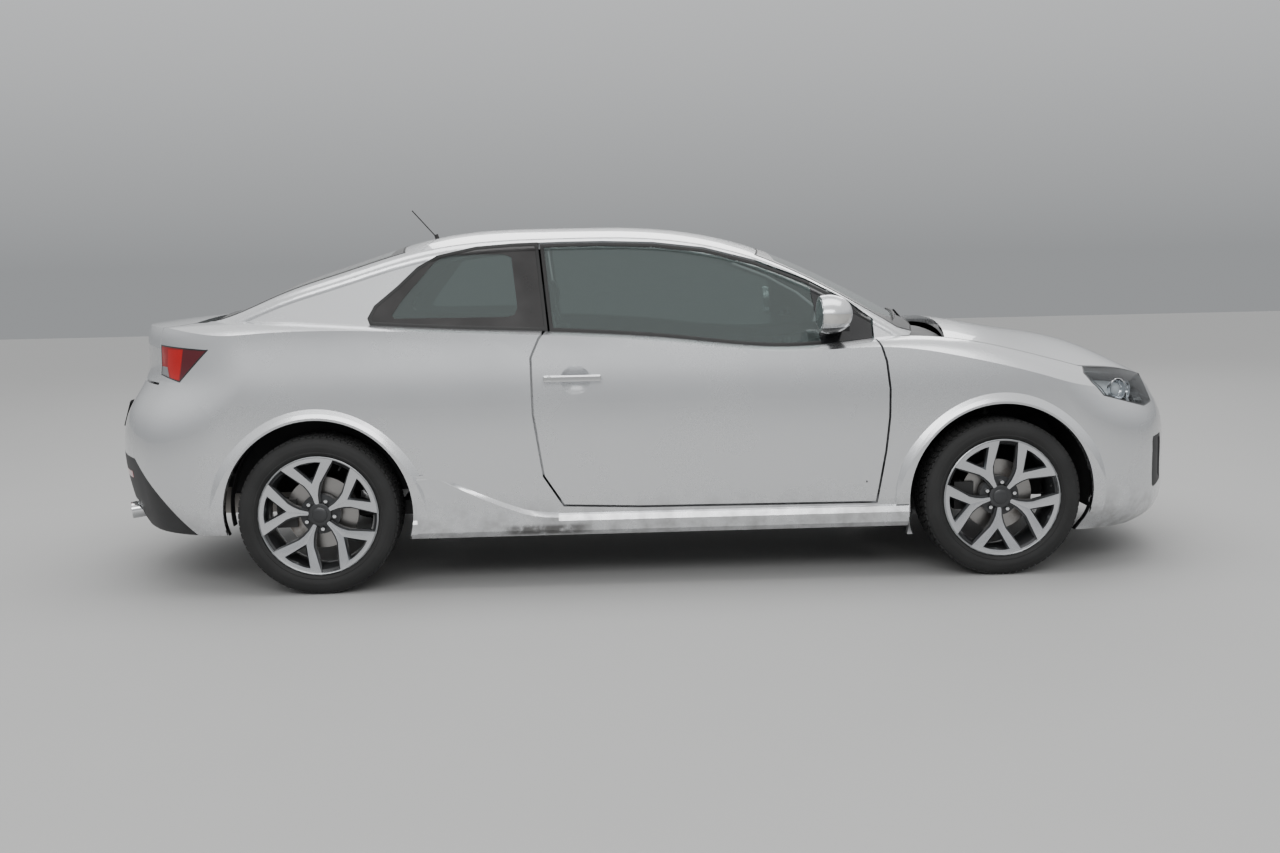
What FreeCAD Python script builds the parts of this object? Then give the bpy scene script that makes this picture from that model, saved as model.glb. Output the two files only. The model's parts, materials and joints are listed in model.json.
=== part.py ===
"""Compact two-door coupe: hollow body shell with hung doors, hood and trunk lid, glass, cabin and running gear.

Millimetres. +X points forward, +Y to the car's left, +Z up.
The origin is on the ground, midway between the two bumpers.
"""

import FreeCAD
import Part

import functools
import math
import os

V = FreeCAD.Vector

# Overall size
LENGTH = 4480.0
WHEELBASE = 2650.0
FRONT_OVERHANG = 890.0
TRACK = 1543.0
HEIGHT = 1400.0
BODY_HALF_WIDTH = 882.5
REACH = 2500.0
WIDE = 1200.0
SKY = 1700.0

# Wheels and tyres
TYRE_RADIUS = 308.0
TYRE_WIDTH = 215.0
TREAD_WIDTH = 188.0
TYRE_WALL = 20.0
BEAD_RADIUS = 222.0
RIM_RADIUS = 231.0
RIM_WIDTH = 196.0
RIM_LIP = 12.0
RIM_WELL_RADIUS = 205.0
RIM_WALL = 9.0
HUB_RADIUS = 76.0
HUB_FACE = 45.0
SPOKE_COUNT = 5
FRONT_SPOKE_TURN = 42.0
REAR_SPOKE_TURN = -10.0
STUD_CIRCLE = 114.3
STUD_RADIUS = 9.0
STUD_LENGTH = 22.0

# Brakes and spindles
DISC_RADIUS = 140.0
DISC_OUTER_FACE = 10.0
DISC_INNER_FACE = -12.0
DISC_HAT_RADIUS = 72.0
DISC_HAT_BORE = 62.0
PAD_GAP = 5.0
SPINDLE_RADIUS = 30.0
HUB_CARRIER_RADIUS = 56.0

# Gaps
SHUT = 9.0
SEAM = 0.5
SEAT_GAP = 0.3

# Walls
SKIN = 28.0
GLASS = 5.0
ROOF_WALL = 38.0
SHEET = 20.0
FLOOR_BOTTOM = 190.0
FLOOR_TOP = 208.0
SILL_BOTTOM = 200.0
FRONT_EDGE = 152.0
REAR_EDGE = 232.0

# Wheel arches
ARCH_RADIUS = 362.0
ARCH_RISE = 8.0
ARCH_DEPTH_Y = 450.0
FRONT_WELL_RADIUS = 388.0
REAR_WELL_RADIUS = 376.0
FRONT_WELL_INNER = 462.0
REAR_WELL_INNER = 630.0
LINER_WALL = 5.0

# Places worked out from the sizes above
NOSE_X = LENGTH / 2
TAIL_X = -LENGTH / 2
FRONT_AXLE_X = NOSE_X - FRONT_OVERHANG
REAR_AXLE_X = FRONT_AXLE_X - WHEELBASE
WHEEL_Y = TRACK / 2
WHEEL_Z = TYRE_RADIUS
ARCH_Z = WHEEL_Z + ARCH_RISE
HALF_SHUT = SHUT / 2

# Steering axis: from the lower ball joint up to the strut top
BALL_JOINT = V(FRONT_AXLE_X, 722.0, 205.0)
STRUT_TOP = V(FRONT_AXLE_X, 592.0, 792.0)

# Door, hood and trunk hinges
DOOR_HINGE_X = 820.0
DOOR_HINGE_Y = 845.0
DOOR_HINGE_HEIGHTS = (430.0, 760.0)
DOOR_PIN_RADIUS = 9.0
DOOR_PIN_HALF = 42.0
DOOR_NOSE_RADIUS = 94.0
DOOR_NOSE_GAP = 6.0
HOOD_HINGE_X = 1150.0
HOOD_HINGE_Z = 905.0
HOOD_PIN_RADIUS = 6.0
HOOD_EAR = (606.0, 636.0)
TRUNK_HINGE_X = -1790.0
TRUNK_HINGE_Z = 1030.0
TRUNK_PIN_RADIUS = 5.0
TRUNK_EAR = (490.0, 520.0)
PIN_PLAY = 0.05

# Cabin
CABIN_HALF_WIDTH = 700.0
FLOOR_HALF_WIDTH = 698.0
FIREWALL_X = 905.0
HEEL_X = -780.0
DOOR_INNER_Y = 752.0
DOOR_CARD_Y = 600.0
TUNNEL_HALF_WIDTH = 135.0
TUNNEL_TOP = 390.0
TUNNEL_WALL = 18.0
BOOT_FLOOR_Z = 440.0
BOOT_FLOOR_WALL = 15.0
BOOT_FLOOR_END = -2060.0
SHELF_DROP = 30.0
SHELF_WALL = 14.0
COWL_DROP = 46.0
COWL_WALL = 12.0
COWL_HALF_WIDTH = 690.0
FRONT_SEAT_Y = 390.0
STEERING_HUB = V(520.0, -FRONT_SEAT_Y, 760.0)

# Plan shape of the body: nose and tail arcs, corner arcs and the slightly bowed sides
NOSE_RADIUS = 1200.0
TAIL_RADIUS = 1150.0
CORNER_RADIUS = 420.0
LOFT_DEGREE = 3

# Columns: height, tail set-back, nose set-back, half width
BODY_LEVELS = (
    (140.0, 175.0, 130.0, 765.0),
    (205.0, 95.0, 28.0, 800.0),
    (275.0, 45.0, 2.0, 838.0),
    (430.0, 4.0, 0.0, 858.0),
    (600.0, 0.0, 22.0, 868.0),
    (690.0, 28.0, 72.0, 868.0),
    (780.0, 84.0, 130.0, 864.0),
    (900.0, 118.0, 190.0, 850.0),
    (1060.0, 150.0, 250.0, 838.0),
    (1450.0, 160.0, 300.0, 835.0),
)

# Columns: x, centre height, half width of the crown, height at its edge, height at the body side
DECK_STATIONS = (
    (-2300.0, 1014.0, 640.0, 998.0, 895.0),
    (-2100.0, 1032.0, 650.0, 1012.0, 915.0),
    (-1750.0, 1062.0, 690.0, 1040.0, 935.0),
    (-1300.0, 1054.0, 760.0, 1036.0, 925.0),
    (-416.0, 1000.0, 788.0, 990.0, 885.0),
    (300.0, 940.0, 788.0, 928.0, 850.0),
    (560.0, 925.0, 788.0, 912.0, 838.0),
    (870.0, 955.0, 770.0, 930.0, 825.0),
    (1150.0, 985.0, 735.0, 925.0, 810.0),
    (1400.0, 958.0, 735.0, 876.0, 785.0),
    (1700.0, 906.0, 725.0, 792.0, 735.0),
    (1950.0, 826.0, 695.0, 730.0, 680.0),
    (2160.0, 708.0, 640.0, 650.0, 600.0),
    (2300.0, 600.0, 600.0, 560.0, 500.0),
)
DECK_BASE_Z = 60.0
DECK_BASE_Y = 1100.0
DECK_SIDE_Y = 940.0
DECK_SIDE_DROP = 70.0

# Columns: x, roof centre height, half width at the roof rail, height at the rail
ROOF_STATIONS = (
    (-1850.0, 1040.0, 560.0, 1008.0),
    (-1700.0, 1088.0, 580.0, 1055.0),
    (-1550.0, 1150.0, 590.0, 1110.0),
    (-1361.0, 1228.0, 594.0, 1178.0),
    (-1142.0, 1297.0, 588.0, 1243.0),
    (-844.0, 1376.0, 572.0, 1320.0),
    (-350.0, HEIGHT, 560.0, 1350.0),
    (-50.0, HEIGHT - 4.0, 560.0, 1346.0),
    (271.0, 1357.0, 572.0, 1302.0),
    (563.0, 1266.0, 600.0, 1200.0),
    (856.0, 1128.0, 645.0, 1045.0),
    (1023.0, 1038.0, 670.0, 945.0),
    (1200.0, 940.0, 690.0, 850.0),
)
RAIL_DROP = 48.0
RAIL_RUN = 36.0
GREENHOUSE_BASE_Y = 918.0
GREENHOUSE_BASE_Z = 640.0

# Cutting lines in side view (x, z)
DOOR_LINE = (
    (841.0, 1040.0), (874.0, 930.0), (898.0, 850.0), (910.0, 743.0), (908.0, 636.0), (894.0, 502.0),
    (861.0, 300.0), (-65.0, 308.0), (-358.0, 320.0), (-433.0, 438.0), (-468.0, 683.0), (-471.0, 895.0),
    (-440.0, 965.0), (-409.0, 1006.0), (-405.0, 1060.0),
)
WINDOW_LINE = (
    (-1106.0, 1052.0), (-1081.0, 1100.0), (-993.0, 1173.0), (-915.0, 1247.0), (-838.0, 1290.0),
    (-686.0, 1322.0), (-536.0, 1332.0), (-351.0, 1336.0), (-185.0, 1336.0), (16.0, 1328.0), (218.0, 1303.0),
    (421.0, 1249.0), (624.0, 1169.0), (778.0, 1085.0), (880.0, 1006.0), (872.0, 800.0), (-1000.0, 800.0),
)
PANE_SPLIT = ((-444.0, 1400.0), (-403.0, 1008.0), (-385.0, 780.0), (2000.0, 780.0), (2000.0, 1400.0))
HEADLAMP_LINE = (
    (1697.0, 779.0), (1740.0, 820.0), (1760.0, 1100.0), (2041.0, 1100.0), (2041.0, 642.0), (1961.0, 637.0),
    (1753.0, 695.0), (1709.0, 745.0),
)
TAIL_LAMP_LINE = ((-2200.0, 985.0), (-1693.0, 951.0), (-1823.0, 826.0), (-1923.0, 847.0), (-2200.0, 847.0))
FRONT_BUMPER_LINE = (
    (2400.0, 1100.0), (2000.0, 1100.0), (2000.0, 704.0), (1702.0, 704.0), (1571.0, 621.0), (1500.0, 560.0),
    (1500.0, 100.0), (2400.0, 100.0),
)
REAR_BUMPER_LINE = (
    (-2400.0, 800.0), (-1930.0, 824.0), (-1806.0, 824.0), (-1798.0, 792.0), (-1757.0, 763.0), (-1534.0, 598.0),
    (-1480.0, 560.0), (-1480.0, 100.0), (-2400.0, 100.0),
)
FENDER_LINE = (
    (895.0, 1100.0), (920.0, 850.0), (925.0, 290.0), (985.0, 290.0), (985.0, 100.0), (2200.0, 100.0),
    (2200.0, 1100.0),
)

# Cutting lines in plan (x, y); a pair of points is an arc through the first to the second
HOOD_PLAN = (
    (1155.0, -705.0), (1703.0, -690.0), (1840.0, -600.0), (2040.0, -470.0), ((2090.0, 0.0), (2040.0, 470.0)),
    (1840.0, 600.0), (1703.0, 690.0), (1155.0, 705.0), ((1235.0, 0.0), (1155.0, -705.0)),
)
TRUNK_PLAN = (
    (-1800.0, -560.0), (-1850.0, -640.0), (-1960.0, -640.0), (-2300.0, -520.0), (-2300.0, 520.0),
    (-1960.0, 640.0), (-1850.0, 640.0), (-1800.0, 560.0),
)
TRUNK_EDGE_Z = 812.0
WINDSCREEN_PLAN = (
    (430.0, -520.0), (980.0, -668.0), ((1250.0, 0.0), (980.0, 668.0)), (430.0, 520.0),
    ((478.0, 0.0), (430.0, -520.0)),
)
REAR_WINDOW_PLAN = (
    (-975.0, -505.0), (-1716.0, -545.0), ((-1750.0, 0.0), (-1716.0, 545.0)), (-975.0, 505.0),
    ((-1010.0, 0.0), (-975.0, -505.0)),
)
ROOF_PLAN = (
    (430.0, -520.0), ((478.0, 0.0), (430.0, 520.0)), (430.0, 535.0), (-975.0, 535.0), (-975.0, 505.0),
    ((-1010.0, 0.0), (-975.0, -505.0)), (-975.0, -535.0), (430.0, -535.0),
)

# Bumper openings seen from the front (y, z)
UPPER_GRILLE = ((-300.0, 640.0), (-340.0, 684.0), (340.0, 684.0), (300.0, 640.0))
LOWER_GRILLE = (
    (-430.0, 232.0), (-500.0, 300.0), (-440.0, 400.0), (440.0, 400.0), (500.0, 300.0), (430.0, 232.0),
)
FOG_SLOT = ((598.0, 330.0), (634.0, 350.0), (648.0, 500.0), (612.0, 500.0))
DIFFUSER = ((-560.0, 100.0), (-520.0, 330.0), (520.0, 330.0), (560.0, 100.0))
INSERT_DEPTH = 20.0
INSERT_WALL = 20.0
SLAT_SET_BACK = 4.0
SLAT_WALL = 9.0
SLAT_HALF_WIDTH = 520.0
SLAT_HEIGHTS = (262.0, 300.0, 338.0, 376.0, 658.0)

# Rolled arch lip round a wheel. Columns: distance outside the arch radius, y
FLARE_SECTION = (
    (0.0, 838.0), (0.0, BODY_HALF_WIDTH), (9.0, BODY_HALF_WIDTH), (24.0, 876.0), (52.0, 862.0), (52.0, 838.0),
)
FLARE_BOTTOM = 212.0
FLARE_STAND = 16.0
# Sill skirt section (y, z)
SKIRT_SECTION = (
    (790.0, 200.0), (838.0, 203.0), (853.0, 222.0), (860.0, 262.0), (852.0, 284.0), (835.0, 292.0), (790.0, 292.0),
)

# Door handle and mirror
HANDLE_REAR = -425.0
HANDLE_FRONT = -203.0
HANDLE_Z = 815.0
HANDLE_HALF_HEIGHT = 13.0
HANDLE_INNER_Y = 872.0
HANDLE_OUTER_Y = 890.0
HANDLE_ROUND = 7.0
HANDLE_FEET = ((-420.0, -385.0), (-235.0, -212.0))
BOWL_RADIUS = 96.0
BOWL_CENTRE = (-302.0, 938.0, HANDLE_Z)
MIRROR_Y, MIRROR_Z = 882.0, 1037.0
# columns: x, half width, half height
MIRROR_STATIONS = (
    (634.0, 97.0, 69.0),
    (662.0, 103.0, 74.0),
    (700.0, 98.0, 70.0),
    (732.0, 78.0, 55.0),
    (750.0, 48.0, 33.0),
    (756.0, 16.0, 11.0),
)
MIRROR_ARM = (690.0, 752.0, 600.0, 862.0, 970.0, 1004.0)
FUEL_FLAP = (-1560.0, 850.0)
FUEL_FLAP_RADIUS = 72.0
FUEL_FLAP_GROOVE = 4.0

# Floor, firewall, heel board and boot floor. Columns: x from, x to, z from, z to
FLOOR_PLATES = (
    (HEEL_X, FIREWALL_X, FLOOR_BOTTOM, FLOOR_TOP),
    (FIREWALL_X, FIREWALL_X + SHEET, FLOOR_BOTTOM, 870.0),
    (HEEL_X - SHEET, HEEL_X, FLOOR_BOTTOM, BOOT_FLOOR_Z),
    (BOOT_FLOOR_END, HEEL_X, BOOT_FLOOR_Z, BOOT_FLOOR_Z + BOOT_FLOOR_WALL),
)
# Rails and strut towers on both sides. Columns: x from, x to, y from, y to, z from, z to
RAILS = (
    (HEEL_X, FIREWALL_X, 250.0, 300.0, 150.0, FLOOR_BOTTOM),
    (FIREWALL_X + SHEET, 2070.0, 385.0, 440.0, 420.0, 520.0),
    (-2150.0, HEEL_X - SHEET, 500.0, 560.0, 380.0, BOOT_FLOOR_Z),
    (FRONT_AXLE_X - 60.0, FRONT_AXLE_X + 60.0, 440.0, 655.0, STRUT_TOP.z + 3.0, STRUT_TOP.z + 20.0),
    (FRONT_AXLE_X - 60.0, FRONT_AXLE_X + 60.0, 440.0, 456.0, 500.0, STRUT_TOP.z + 20.0),
)
# Crossbeams. Columns: x from, x to, half width, z from, z to
CROSSBEAMS = ((2040.0, 2110.0, 600.0, 430.0, 530.0), (-2120.0, BOOT_FLOOR_END, 600.0, 380.0, 470.0))
UPPER_RAIL = ((905.0, 830.0), (905.0, 780.0), (1900.0, 640.0), (1900.0, 690.0))
UPPER_RAIL_Y = (640.0, 690.0)
RAIL_BRACE = ((1480.0, 660.0), (1500.0, 660.0), (1910.0, 440.0), (1880.0, 440.0))
RAIL_BRACE_Y = (438.0, 466.0)

# Front subframe on both sides. Columns: x from, x to, y from, y to, z from, z to
SUBFRAME_ARMS = (
    (FRONT_AXLE_X - 28.0, FRONT_AXLE_X + 28.0, 430.0, 735.0, 183.0, BALL_JOINT.z - SEAT_GAP),
    (1000.0, 1340.0, 385.0, 436.0, 200.0, 250.0),
    (1010.0, 1060.0, 390.0, 436.0, 240.0, 420.0),
)
SUBFRAME_BEAM = (FRONT_AXLE_X - 60.0, FRONT_AXLE_X + 60.0, -436.0, 436.0, 200.0, 250.0)
# Rear twist beam's trailing arms, spring seats and front bushes on both sides
REAR_ARMS = (
    (-1340.0, -840.0, 582.0, 622.0, 262.0, 320.0),
    (REAR_AXLE_X - 30.0, REAR_AXLE_X + 30.0, 610.0, 690.0, 270.0, 345.0),
    (-1250.0, -1190.0, 545.0, 610.0, 255.0, 280.0),
    (-880.0, -830.0, 562.0, 620.0, 270.0, BOOT_FLOOR_Z - SEAT_GAP),
)
REAR_BEAM = (-1120.0, -1060.0, -620.0, 620.0, 262.0, 318.0)
REAR_SPRING = (V(-1220.0, 550.0, 265.0), V(-1220.0, 535.0, 376.0))
REAR_SPRING_RADIUS = 30.0
ENGINE = (1060.0, 1500.0, -320.0, 320.0, 250.0, 700.0)

# Exhaust route, its silencer and its tip
EXHAUST_ROUTE = ((1040.0, -60.0, 215.0), (-760.0, -60.0, 215.0), (-1190.0, -240.0, 215.0), (-1430.0, -330.0, 300.0))
EXHAUST_RADIUS = 26.0
SILENCER = (-1980.0, -1420.0, -480.0, -300.0, 260.0, 400.0)
HANGER_X = (-1860.0, -1540.0)
HANGER_RADIUS = 6.0
TIP_START = V(-1960.0, -430.0, 300.0)
TIP_END = V(-2120.0, -480.0, 285.0)
TIP_RADIUS = 30.0
TIP_CLEARANCE = 7.0

# Seats: front seats at both sides, and the rear bench
SEAT_HALF_WIDTH = 235.0
CUSHION = (-250.0, 260.0, 330.0, 450.0)
SEAT_BASE = (-200.0, 200.0, FLOOR_TOP, 330.0)
SEAT_BASE_HALF_WIDTH = 190.0
SEAT_BACK = ((-330.0, 400.0), (-190.0, 400.0), (-330.0, 1010.0), (-430.0, 990.0))
HEAD_REST = ((-440.0, 1050.0), (-370.0, 1050.0), (-385.0, 1180.0), (-455.0, 1170.0))
HEAD_REST_HALF_WIDTH = 130.0
POST_OFFSET = 60.0
POST_RADIUS = 7.0
BENCH_HALF_WIDTH = 640.0
BENCH_CUSHION = (-900.0, -430.0, 330.0, 470.0)
BENCH_BACK = ((-1000.0, 440.0), (-880.0, 440.0), (-1010.0, 955.0), (-1090.0, 955.0))
DASH = ((905.0, 560.0), (760.0, 520.0), (640.0, 700.0), (660.0, 860.0), (905.0, 900.0))
DASH_HALF_WIDTH = 680.0
STEERING_RADIUS = 180.0
STEERING_GRIP = 15.0
COLUMN_SLOPE = V(0.93, 0.0, -0.37)
ANTENNA_FOOT = (V(-890.0, 0.0, 1340.0), V(-905.0, 0.0, 1385.0))
ANTENNA_MAST = (V(-905.0, 0.0, 1376.0), V(-1005.0, 0.0, 1490.0))


def mirrored(shape):
    return shape.mirror(V(0, 0, 0), V(0, 1, 0))


def both_sides(shape):
    return shape.fuse(mirrored(shape))


def box(x0, x1, y0, y1, z0, z1):
    return Part.makeBox(x1 - x0, y1 - y0, z1 - z0, V(x0, y0, z0))


def side_box(sign, x0, x1, y0, y1, z0, z1):
    """A box given for the left side, put on the side that sign says."""
    low, high = sorted((sign * y0, sign * y1))
    return box(x0, x1, low, high, z0, z1)


def wide_box(x0, x1, half, z0, z1):
    return box(x0, x1, -half, half, z0, z1)


def rod(start, end, radius):
    """A round bar from one point to another."""
    run = end - start
    return Part.makeCylinder(radius, run.Length, start, run)


def cross_rod(sign, x, y0, y1, z, radius):
    """A round bar across the car, given for the left side."""
    return rod(V(x, sign * y0, z), V(x, sign * y1, z), radius)


def drum(radius, x):
    """A cylinder right across the car over a wheel, concentric with its arch."""
    return Part.makeCylinder(radius, 2 * WIDE, V(x, -WIDE, ARCH_Z), V(0, 1, 0))


def fused(shapes):
    return shapes[0].multiFuse(shapes[1:])


def arc_after(start, tangent, end):
    """The arc that leaves start along tangent and reaches end."""
    chord = end - start
    side = tangent.cross(chord).cross(tangent)
    side.normalize()
    radius = chord.Length**2 / (2 * chord.dot(side))
    centre = start + side * radius
    middle = (start + end) * 0.5 - centre
    middle.normalize()
    return Part.Arc(start, centre + middle * radius, end).toShape()


def path(points):
    """A closed wire through points; a pair of points is an arc through the first to the second."""
    edges, here = [], points[0]
    for step in [*points[1:], points[0]]:
        if isinstance(step, tuple):
            edges.append(Part.Arc(here, step[0], step[1]).toShape())
            here = step[1]
        elif (step - here).Length > 1e-6:
            edges.append(Part.LineSegment(here, step).toShape())
            here = step
    return Part.Wire(edges)


def side_prism(outline, y0, y1):
    """A prism across the car from an outline in (x, z); a pair of points is an arc."""
    def at(p):
        return V(p[0], y0, p[1])
    points = [(at(p[0]), at(p[1])) if isinstance(p[0], tuple) else at(p) for p in outline]
    return Part.Face(path(points)).extrude(V(0, y1 - y0, 0))


def front_prism(outline, x0, x1):
    """A prism along the car from an outline in (y, z)."""
    points = [V(x0, p[0], p[1]) for p in outline]
    return Part.Face(path(points)).extrude(V(x1 - x0, 0, 0))


def grown(face, amount):
    return face.makeOffset2D(amount) if amount else face


def side_zone(outline, y0, y1, grow=0.0):
    """A prism on both sides of the car from a side-view outline, grown by a gap."""
    right = grown(Part.Face(path([V(x, -y1, z) for x, z in outline])), grow)
    return both_sides(right.extrude(V(0, y1 - y0, 0)))


def full_zone(outline):
    """A prism right across the car from a side-view outline."""
    return side_prism(outline, -WIDE, WIDE)


def plan_zone(outline, z0, z1, grow=0.0):
    """An upright prism from an outline in plan, grown by a gap."""
    def at(p):
        return V(p[0], p[1], z0)
    wire = path([(at(p[0]), at(p[1])) if isinstance(p[0], tuple) else at(p) for p in outline])
    return grown(Part.Face(wire), grow).extrude(V(0, 0, z1 - z0))


def one_side(shape, sign):
    """The part of a shape on one side of the car: +1 left, -1 right."""
    return shape.common(side_box(sign, -REACH, REACH, 0.0, WIDE, 0.0, SKY))


def cut_all(shape, *tools):
    for tool in tools:
        shape = shape.cut(tool)
    return shape


def save(name, shape):
    """Write one node, as a solid or a compound of its solids."""
    if shape.ShapeType != "Compound":
        shape = shape.removeSplitter()
    solids = shape.Solids
    shape = solids[0] if len(solids) == 1 else Part.makeCompound(solids)
    shape.exportStep(f"parts/{name}.step")
    print(f"{name:22s} {len(solids)} solids {len(shape.Faces):4d} faces {shape.Volume / 1e6:7.1f} l", flush=True)


def plan_loop(z, tail_x, nose_x, half_width):
    """The body's outline in plan at one height: nose and tail arcs, corner arcs and straight sides."""
    marks = []
    for forward, end_x, radius in ((1, nose_x, NOSE_RADIUS), (-1, tail_x, TAIL_RADIUS)):
        centre = V(end_x - forward * radius, 0, z)
        corner_y = half_width - CORNER_RADIUS
        corner = V(centre.x + forward * math.sqrt((radius - CORNER_RADIUS) ** 2 - corner_y**2), corner_y, z)
        out = corner - centre
        out.normalize()
        between = out + V(0, 1, 0)
        between.normalize()
        marks.append((centre + out * radius, corner + between * CORNER_RADIUS, corner + V(0, CORNER_RADIUS, 0)))
    (front_end, front_corner, front_side), (rear_end, rear_corner, rear_side) = marks

    def right(p):
        return V(p.x, -p.y, p.z)
    return path([
        right(front_end),
        (V(nose_x, 0, z), front_end),
        (front_corner, front_side),
        rear_side,
        (rear_corner, rear_end),
        (V(tail_x, 0, z), right(rear_end)),
        (right(rear_corner), right(rear_side)),
        right(front_side),
        (right(front_corner), right(front_end)),
    ])


@functools.lru_cache(maxsize=None)
def side_solid(inset=0.0):
    """The body's sides, nose and tail, lofted up through the levels."""
    loops = [
        plan_loop(z, TAIL_X + tail + inset, NOSE_X - nose - inset, half - inset)
        for z, tail, nose, half in BODY_LEVELS
    ]
    return Part.makeLoft(loops, True, False, False, LOFT_DEGREE)


def crowned_section(x, base_z, base_y, outer, edge, top_z):
    """One closed cross-section: flat base, sides, shoulders that run on from the crown, and the crown."""
    crown = Part.Arc(V(x, -edge[0], edge[1]), V(x, 0, top_z), V(x, edge[0], edge[1]))
    tangent = crown.tangent(crown.LastParameter)[0]
    left_shoulder = arc_after(V(x, edge[0], edge[1]), tangent, V(x, outer[0], outer[1]))
    right_shoulder = mirrored(left_shoulder)
    corners = [V(x, -outer[0], outer[1]), V(x, -base_y, base_z), V(x, base_y, base_z), V(x, outer[0], outer[1])]
    lines = [Part.LineSegment(a, b).toShape() for a, b in zip(corners, corners[1:])]
    return Part.Wire(Part.__sortEdges__([crown.toShape(), left_shoulder, *lines, right_shoulder]))


@functools.lru_cache(maxsize=None)
def deck_solid(drop=0.0):
    """What lies under the hood, waistline and trunk surfaces."""
    sections = []
    for x, centre, half, edge, side in DECK_STATIONS:
        outer = (DECK_SIDE_Y, side - drop - DECK_SIDE_DROP)
        sections.append(crowned_section(x, DECK_BASE_Z, DECK_BASE_Y, outer, (half, edge - drop), centre - drop))
    return Part.makeLoft(sections, True, False, False, LOFT_DEGREE)


@functools.lru_cache(maxsize=None)
def greenhouse_solid(inset=0.0):
    """The roof, screens, pillars and side glass above the waistline."""
    sections = []
    for x, centre, half, rail in ROOF_STATIONS:
        edge = (half - inset, rail - inset)
        outer = (half + RAIL_RUN - inset, rail - RAIL_DROP - inset * 0.6)
        base_y = GREENHOUSE_BASE_Y - inset
        sections.append(crowned_section(x, GREENHOUSE_BASE_Z, base_y, outer, edge, centre - inset))
    return Part.makeLoft(sections, True, False, False, LOFT_DEGREE)


def revolved(profile, x, y, sign=1):
    """Turn a profile of (radius, outward offset from y) round an axle at x."""
    points = [V(x, y + sign * w, WHEEL_Z + r) for r, w in profile]
    return Part.Face(path(points)).revolve(V(x, y, WHEEL_Z), V(0, 1, 0), 360)


def tyre(x, y):
    """A tyre from bead to bead, with a flat tread and bulged walls."""
    half, tread = TYRE_WIDTH / 2, TREAD_WIDTH / 2
    outside = [
        (BEAD_RADIUS, 80.0), (BEAD_RADIUS + 10.5, 85.0), (BEAD_RADIUS + 22.0, half - 7.0), (BEAD_RADIUS + 40.0, half),
        (TYRE_RADIUS - 22.0, tread + 8.0), (TYRE_RADIUS - 6.0, tread), (TYRE_RADIUS, tread - 22.0),
    ]
    inside = [(BEAD_RADIUS + 12.0, 72.0), (TYRE_RADIUS - TYRE_WALL, 84.0)]
    profile = [(r, -w) for r, w in outside] + outside[::-1]
    profile += inside + [(r, -w) for r, w in inside[::-1]]
    return revolved(profile, x, y)


def rim(x, sign, turn):
    """Alloy rim: barrel, dished centre, five forked spokes and the studs between them."""
    y = sign * WHEEL_Y
    half = RIM_WIDTH / 2
    seat, flange = BEAD_RADIUS - SEAM, half - 14.0
    barrel = [
        (RIM_RADIUS, -half), (seat, -flange), (seat, -60.0), (RIM_WELL_RADIUS, -40.0), (RIM_WELL_RADIUS, 45.0),
        (seat, 62.0), (seat, flange), (RIM_RADIUS, half), (RIM_RADIUS - RIM_LIP, half), (BEAD_RADIUS - 14.0, flange),
        (BEAD_RADIUS - 14.0, 60.0), (RIM_WELL_RADIUS - RIM_WALL, 44.0), (RIM_WELL_RADIUS - RIM_WALL, -40.0),
        (BEAD_RADIUS - 10.0, -60.0), (BEAD_RADIUS - 10.0, -half + RIM_LIP), (RIM_RADIUS - 8.0, -half),
    ]
    hub = [(0.0, HUB_FACE), (HUB_RADIUS, HUB_FACE), (HUB_RADIUS, 62.0), (40.0, 66.0), (34.0, 72.0), (0.0, 74.0)]
    dish = [
        (44.0, 50.0), (44.0, 72.0), (120.0, 80.0), (190.0, 92.0), (218.0, half - SEAM), (218.0, 86.0), (190.0, 66.0),
        (120.0, 54.0),
    ]
    dish = revolved(dish, x, y, sign)
    spoke = ((-9, 40), (-15, 100), (-100, 194), (-96, 230), (96, 230), (100, 194), (15, 100), (9, 40))
    window = ((0, 124), (-70, 192), ((0, 205), (70, 192)))
    pieces = [revolved(hub, x, y, sign)]
    depth = sign * (half + LINER_WALL)
    step = 360.0 / SPOKE_COUNT
    for i in range(SPOKE_COUNT):
        blade = side_prism(spoke, 0.0, depth).cut(side_prism(window, 0.0, depth))
        blade.translate(V(x, y, WHEEL_Z))
        blade.rotate(V(x, y, WHEEL_Z), V(0, 1, 0), turn + i * step)
        pieces.append(blade.common(dish))
        angle = math.radians(turn + (i + 0.5) * step)
        reach = STUD_CIRCLE / 2
        stud = V(x + reach * math.sin(angle), y + sign * (HUB_FACE + 10.0), WHEEL_Z + reach * math.cos(angle))
        pieces.append(rod(stud, stud + V(0, sign * STUD_LENGTH, 0), STUD_RADIUS))
    return revolved(barrel, x, y, sign).multiFuse(pieces)


def brake_disc(x, sign):
    face = HUB_FACE - SEAT_GAP
    profile = [
        (0.0, face), (DISC_HAT_RADIUS, face), (DISC_HAT_RADIUS, DISC_OUTER_FACE), (DISC_RADIUS, DISC_OUTER_FACE),
        (DISC_RADIUS, DISC_INNER_FACE), (DISC_HAT_BORE, DISC_INNER_FACE), (DISC_HAT_BORE, SPINDLE_RADIUS),
        (0.0, SPINDLE_RADIUS),
    ]
    return revolved(profile, x, sign * WHEEL_Y, sign)


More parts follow.
